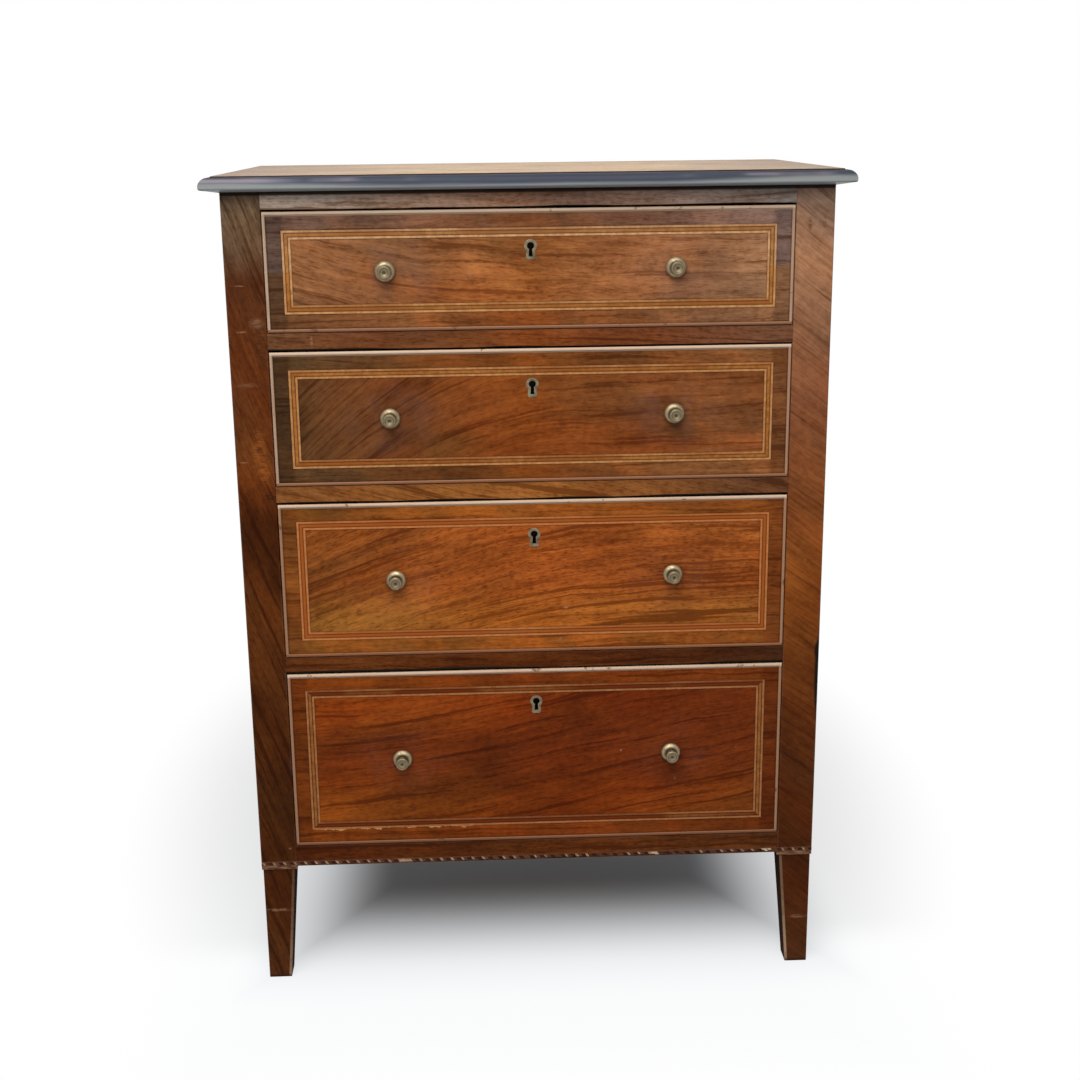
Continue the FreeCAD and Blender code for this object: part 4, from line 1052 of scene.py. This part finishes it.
# Tones of each rail at its left and right end, its lean of grain, and the height of the painted shade along
# its lower edge over the drawer below
RAILS = {
    "top_rail": ((1.45, 2.25, 3.0), (0.7, 1.3, 2.1), 0.0, 1.6 * MM),
    "drawer_rail_1": ((0.75, 1.3, 2.9), (0.75, 1.3, 3.4), 0.05, 1.8 * MM),
    "drawer_rail_2": ((0.68, 0.72, 0.95), (0.46, 0.48, 0.95), 0.22, 1.8 * MM),
    "drawer_rail_3": ((1.14, 1.3, 1.6), (0.45, 0.6, 1.2), 0.0, 2.4 * MM),
    "bottom_rail": ((0.65, 0.6, 0.7), (0.75, 0.9, 1.2), 0.0, 0.0),
}
RAIL_MARKS = {"drawer_rail_1": (((-262, 843), (2.5, 11), 0.25),)}


# Operators, one for each group of pieces

def settings(context):
    return context.scene.chest_colours, context.scene.chest_sizes


class CHEST_OT_carcass(bpy.types.Operator):
    """Polishes the posts, the rails and the side panels"""

    bl_idname = "chest.carcass"
    bl_label = "Carcass"

    def execute(self, context):
        looks, _ = settings(context)
        for index, side in enumerate(SIDES):
            tone = getattr(looks, "post_" + side)
            for end in ("front", "back"):
                node = "post_" + end + "_" + side
                wood = carcass_wood(node, tone, looks, seed=21 + 3 * index, drift_run="Z", **POSTS[side])
                dress(node, wood)
            node = "side_panel_" + side
            dress(node, carcass_wood(node, looks.panel, looks, "Z", 31 + index, PANEL_STOPS))
        for index, (node, (start, end, slope, gap_shade)) in enumerate(RAILS.items()):
            stops = ((0.0, start), (0.5, PLAIN), (1.0, end))
            dress(node, carcass_wood(node, getattr(looks, node), looks, "X", 41 + index, stops, gap_shade=gap_shade,
                                     pale=RAIL_MARKS.get(node, ()), slope=slope, contrast=0.8))
        return {"FINISHED"}


class CHEST_OT_top(bpy.types.Operator):
    """Puts a smooth moulded top in place of the plain one"""

    bl_idname = "chest.top"
    bl_label = "Top"

    def execute(self, context):
        looks, _ = settings(context)
        finish = moulded_top(looks)
        piece("moulded_top", merged_copy("top_board"), CARCASS, [finish], "top_board",
              TOP_SMOOTH)
        return {"FINISHED"}


class CHEST_OT_drawer_fronts(bpy.types.Operator):
    """Veneers the four drawer fronts and lays in their bands"""

    bl_idname = "chest.drawer_fronts"
    bl_label = "Drawer fronts"

    def execute(self, context):
        looks, sizes = settings(context)
        for number in DRAWERS:
            dress(drawer_node(number, "front"), drawer_veneer(number, looks, sizes))
            dress(drawer_node(number, "inlay"), band_inlay(number, looks, sizes))
        return {"FINISHED"}


class CHEST_OT_cock_beads(bpy.types.Operator):
    """Frames each drawer front with a round-nosed bead"""

    bl_idname = "chest.cock_beads"
    bl_label = "Cock beads"

    def execute(self, context):
        looks, sizes = settings(context)
        for number in DRAWERS:
            piece("round_bead_" + str(number), bead_frame(number, sizes), drawer_body(number),
                  [bead_wood(number, looks)], drawer_node(number, "cock_bead"), BEAD_SMOOTH)
        return {"FINISHED"}


class CHEST_OT_knobs(bpy.types.Operator):
    """Turns the brass knobs, with their shanks and nuts"""

    bl_idname = "chest.knobs"
    bl_label = "Knobs"

    def execute(self, context):
        looks, sizes = settings(context)
        for number in DRAWERS:
            for side, centre in zip(SIDES, knob_centres(number)):
                bm, brass = turned_knob(number, centre, looks, sizes)
                piece("turned_knob_" + str(number) + "_" + side, bm, drawer_body(number), [brass],
                      drawer_node(number, "knobs"), BRASS_SMOOTH)
        return {"FINISHED"}


class CHEST_OT_escutcheons(bpy.types.Operator):
    """Lines the keyholes with brass"""

    bl_idname = "chest.escutcheons"
    bl_label = "Escutcheons"

    def execute(self, context):
        looks, sizes = settings(context)
        brass = aged_metal("keyhole_brass", [tone * 0.82 for tone in looks.brass], 5, 0.48, 0.9)
        for number in DRAWERS:
            piece("keyhole_liner_" + str(number), escutcheon(number, sizes), drawer_body(number),
                  [brass], drawer_node(number, "escutcheon"), BRASS_SMOOTH)
        return {"FINISHED"}


class CHEST_OT_locks(bpy.types.Operator):
    """Finishes the locks and their bolts, and screws the locks in"""

    bl_idname = "chest.locks"
    bl_label = "Locks"

    def execute(self, context):
        looks, sizes = settings(context)
        iron = aged_metal("bolt_iron", looks.iron, 9, 0.5, 0.5)
        chance = random.Random(4)
        inset = sizes.screw_radius * 1.6
        for number in DRAWERS:
            low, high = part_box(drawer_node(number, "lock"))
            keyhole = (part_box(drawer_node(number, "front"))[1].z - KEYHOLE_DROP, high.y - 1 * MM)
            brass = aged_metal("lock_brass_" + str(number), looks.brass, 8, 0.4, 0.9, keyhole)
            dress(drawer_node(number, "lock"), brass)
            dress(drawer_node(number, "bolt"), iron)
            bm = bmesh.new()
            for x in (low.x + inset, high.x - inset):
                for z in (low.z + inset, high.z - 2 * inset):
                    screw_head(bm, Vector((x, high.y, z)), sizes.screw_radius, chance.uniform(0, math.pi))
            tidy_normals(bm)
            piece("lock_screws_" + str(number), bm, drawer_body(number), [iron])
        return {"FINISHED"}


class CHEST_OT_linings(bpy.types.Operator):
    """Gives the drawer linings their bare oak"""

    bl_idname = "chest.linings"
    bl_label = "Drawer linings"

    def execute(self, context):
        looks, _ = settings(context)
        for number in DRAWERS:
            for part, run in (("sides", "Y"), ("back", "X"), ("bottom", "X")):
                node = drawer_node(number, part)
                dress(node, bare_wood("oak_of_" + node, looks.oak, run, 3 * number + len(part)))
        return {"FINISHED"}


class CHEST_OT_inside(bpy.types.Operator):
    """Gives the runners, guides, kickers, stops, blocks and back their bare pine, and nails the back"""

    bl_idname = "chest.inside"
    bl_label = "Inside and back"

    def execute(self, context):
        looks, sizes = settings(context)
        runs = {"drawer_runners": "Y", "drawer_guides": "Y", "top_kickers": "Y", "glue_blocks": "Y",
                "drawer_stops": "X", "back_rails": "X", "back_boards": "Z"}
        low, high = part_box("back_boards")
        rail_low, rail_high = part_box("back_rails")
        rows = (rail_low.z + NAIL_INSET, rail_high.z - NAIL_INSET)
        nails = {"back_boards": (low.x, (high.x - low.x) / BACK_BOARDS, rows, sizes.nail_radius)}
        for index, (node, run) in enumerate(runs.items()):
            dress(node, bare_wood("pine_of_" + node, looks.pine, run, 50 + index, 38, nails.get(node)))
        return {"FINISHED"}


class CHEST_OT_rope(bpy.types.Operator):
    """Lays the rope stringing along the lower edge of the front"""

    bl_idname = "chest.rope"
    bl_label = "Rope stringing"

    def execute(self, context):
        looks, sizes = settings(context)
        woods = [rope_wood(name, getattr(looks, name), looks.rope_brown, 15 + index)
                 for index, name in enumerate(("rope_light", "rope_brown", "rope_dark", "rope_bare"))]
        piece("rope_strands", rope_strands(sizes), CARCASS, woods, "rope_stringing")
        return {"FINISHED"}


# The stage in metres, and the width of the camera's film in millimetres
FLOOR_REACH = 14.0
SHADOW_MIDDLE = 0.015
KEY_SIZE = 2.6
KEY_PLACE, KEY_AIM = Vector((-0.5, -1.7, 3.1)), Vector((0.0, 0.0, 0.55))
SENSOR_WIDTH = 36.0


class CHEST_OT_stage(bpy.types.Operator):
    """Sets the floor, the light and the camera"""

    bl_idname = "chest.stage"
    bl_label = "Stage"

    def execute(self, context):
        stage, scene = context.scene.chest_stage, context.scene
        self.floor(stage)
        self.sky(scene, stage)
        self.key(stage)
        self.camera(scene, stage)
        scene.view_settings.view_transform = "Standard"
        return {"FINISHED"}

    def floor(self, stage):
        """A plain floor that turns plain white away from the chest, where only the background is wanted, and
        a soft painted shadow round the chest.
        """
        bm = bmesh.new()
        bmesh.ops.create_grid(bm, x_segments=8, y_segments=8, size=FLOOR_REACH)
        floor = placed("floor", mesh_of("floor", bm))
        finish = Finish("pale_floor", 0.9, 0.0)
        finish.shade = linear(stage.floor)
        finish.done()
        x, y, _ = finish.axes
        aside = abs(x - SHADOW_MIDDLE)
        lit = y.span(0.05, -0.295).most(y.span(0.1, 0.5)).most(aside.span(0.215, 0.43))
        whiteness = abs(x).most(abs(y)).span(0.28, 0.6) * 0.08 + 0.92
        # Painted shadow: a soft grey halo beside and behind the chest, made by dimming the floor's white glow
        far = finish.far(x - SHADOW_MIDDLE, (y - 0.45) * 0.62)
        grey = far.span(0.7, 0.43) * y.span(-0.19, -0.09) * aside.span(0.28, 0.38)
        white = finish.node("Emission", {"Color": PLAIN, "Strength": grey * -0.2 + 1.0})
        blend = {0: finish.seen() * whiteness * lit, 1: finish.shader.outputs[0], 2: white.outputs[0]}
        surface = finish.tree.nodes["Material Output"].inputs["Surface"]
        finish.feed(surface, finish.node("MixShader", blend).outputs[0])
        floor.data.materials.append(finish.material)

    def sky(self, scene, stage):
        """Even light all round, seen as white."""
        scene.world = bpy.data.worlds.new("sky")
        scene.world.use_nodes = True
        wiring = Wiring(scene.world.node_tree)
        strength = wiring.node("MapRange", {"Value": wiring.seen(), "To Min": stage.sky}).outputs[0]
        background = wiring.tree.nodes["Background"].inputs
        wiring.feed(background["Strength"], strength)
        wiring.feed(background["Color"], PLAIN)

    def key(self, stage):
        """A large soft light above the front of the chest."""
        light = bpy.data.lights.new("key", "AREA")
        light.shape = "SQUARE"
        light.size = KEY_SIZE
        light.energy = stage.key
        turn = (KEY_AIM - KEY_PLACE).to_track_quat("-Z", "Y").to_matrix().to_4x4()
        placed("key", light).matrix_world = Matrix.Translation(KEY_PLACE) @ turn

    def camera(self, scene, stage):
        camera = bpy.data.cameras.new("camera")
        camera.lens = stage.camera_lens
        camera.sensor_width = SENSOR_WIDTH
        scene.camera = placed("camera", camera)
        yaw, pitch, roll = stage.camera_turn
        turn = Matrix.Rotation(-yaw, 4, "Z") @ Matrix.Rotation(math.pi / 2 - pitch, 4, "X")
        turn = turn @ Matrix.Rotation(roll, 4, "Z")
        scene.camera.matrix_world = Matrix.Translation(stage.camera_place) @ turn


OPERATORS = (
    CHEST_OT_carcass, CHEST_OT_top, CHEST_OT_drawer_fronts, CHEST_OT_cock_beads, CHEST_OT_knobs,
    CHEST_OT_escutcheons, CHEST_OT_locks, CHEST_OT_linings, CHEST_OT_inside, CHEST_OT_rope, CHEST_OT_stage,
)


class CHEST_PT_panel(bpy.types.Panel):
    """Lists the chest's settings and the operators that make it"""

    bl_idname = "CHEST_PT_panel"
    bl_label = "Bachelors chest"
    bl_space_type = "VIEW_3D"
    bl_region_type = "UI"
    bl_category = "Chest"

    def draw(self, context):
        layout = self.layout
        for operator in OPERATORS:
            layout.operator(operator.bl_idname)
        for group in (context.scene.chest_colours, context.scene.chest_sizes, context.scene.chest_stage):
            box = layout.box()
            for name in group.__annotations__:
                box.prop(group, name)


CLASSES = (ChestColours, ChestSizes, ChestStage, *OPERATORS, CHEST_PT_panel)


def register():
    for cls in CLASSES:
        bpy.utils.register_class(cls)
    bpy.types.Scene.chest_colours = PointerProperty(type=ChestColours)
    bpy.types.Scene.chest_sizes = PointerProperty(type=ChestSizes)
    bpy.types.Scene.chest_stage = PointerProperty(type=ChestStage)


def unregister():
    del bpy.types.Scene.chest_stage
    del bpy.types.Scene.chest_sizes
    del bpy.types.Scene.chest_colours
    for cls in reversed(CLASSES):
        bpy.utils.unregister_class(cls)


def main():
    register()
    for operator in OPERATORS:
        group, name = operator.bl_idname.split(".")
        getattr(getattr(bpy.ops, group), name)()
    bpy.context.view_layer.update()


if __name__ == "__main__":
    main()
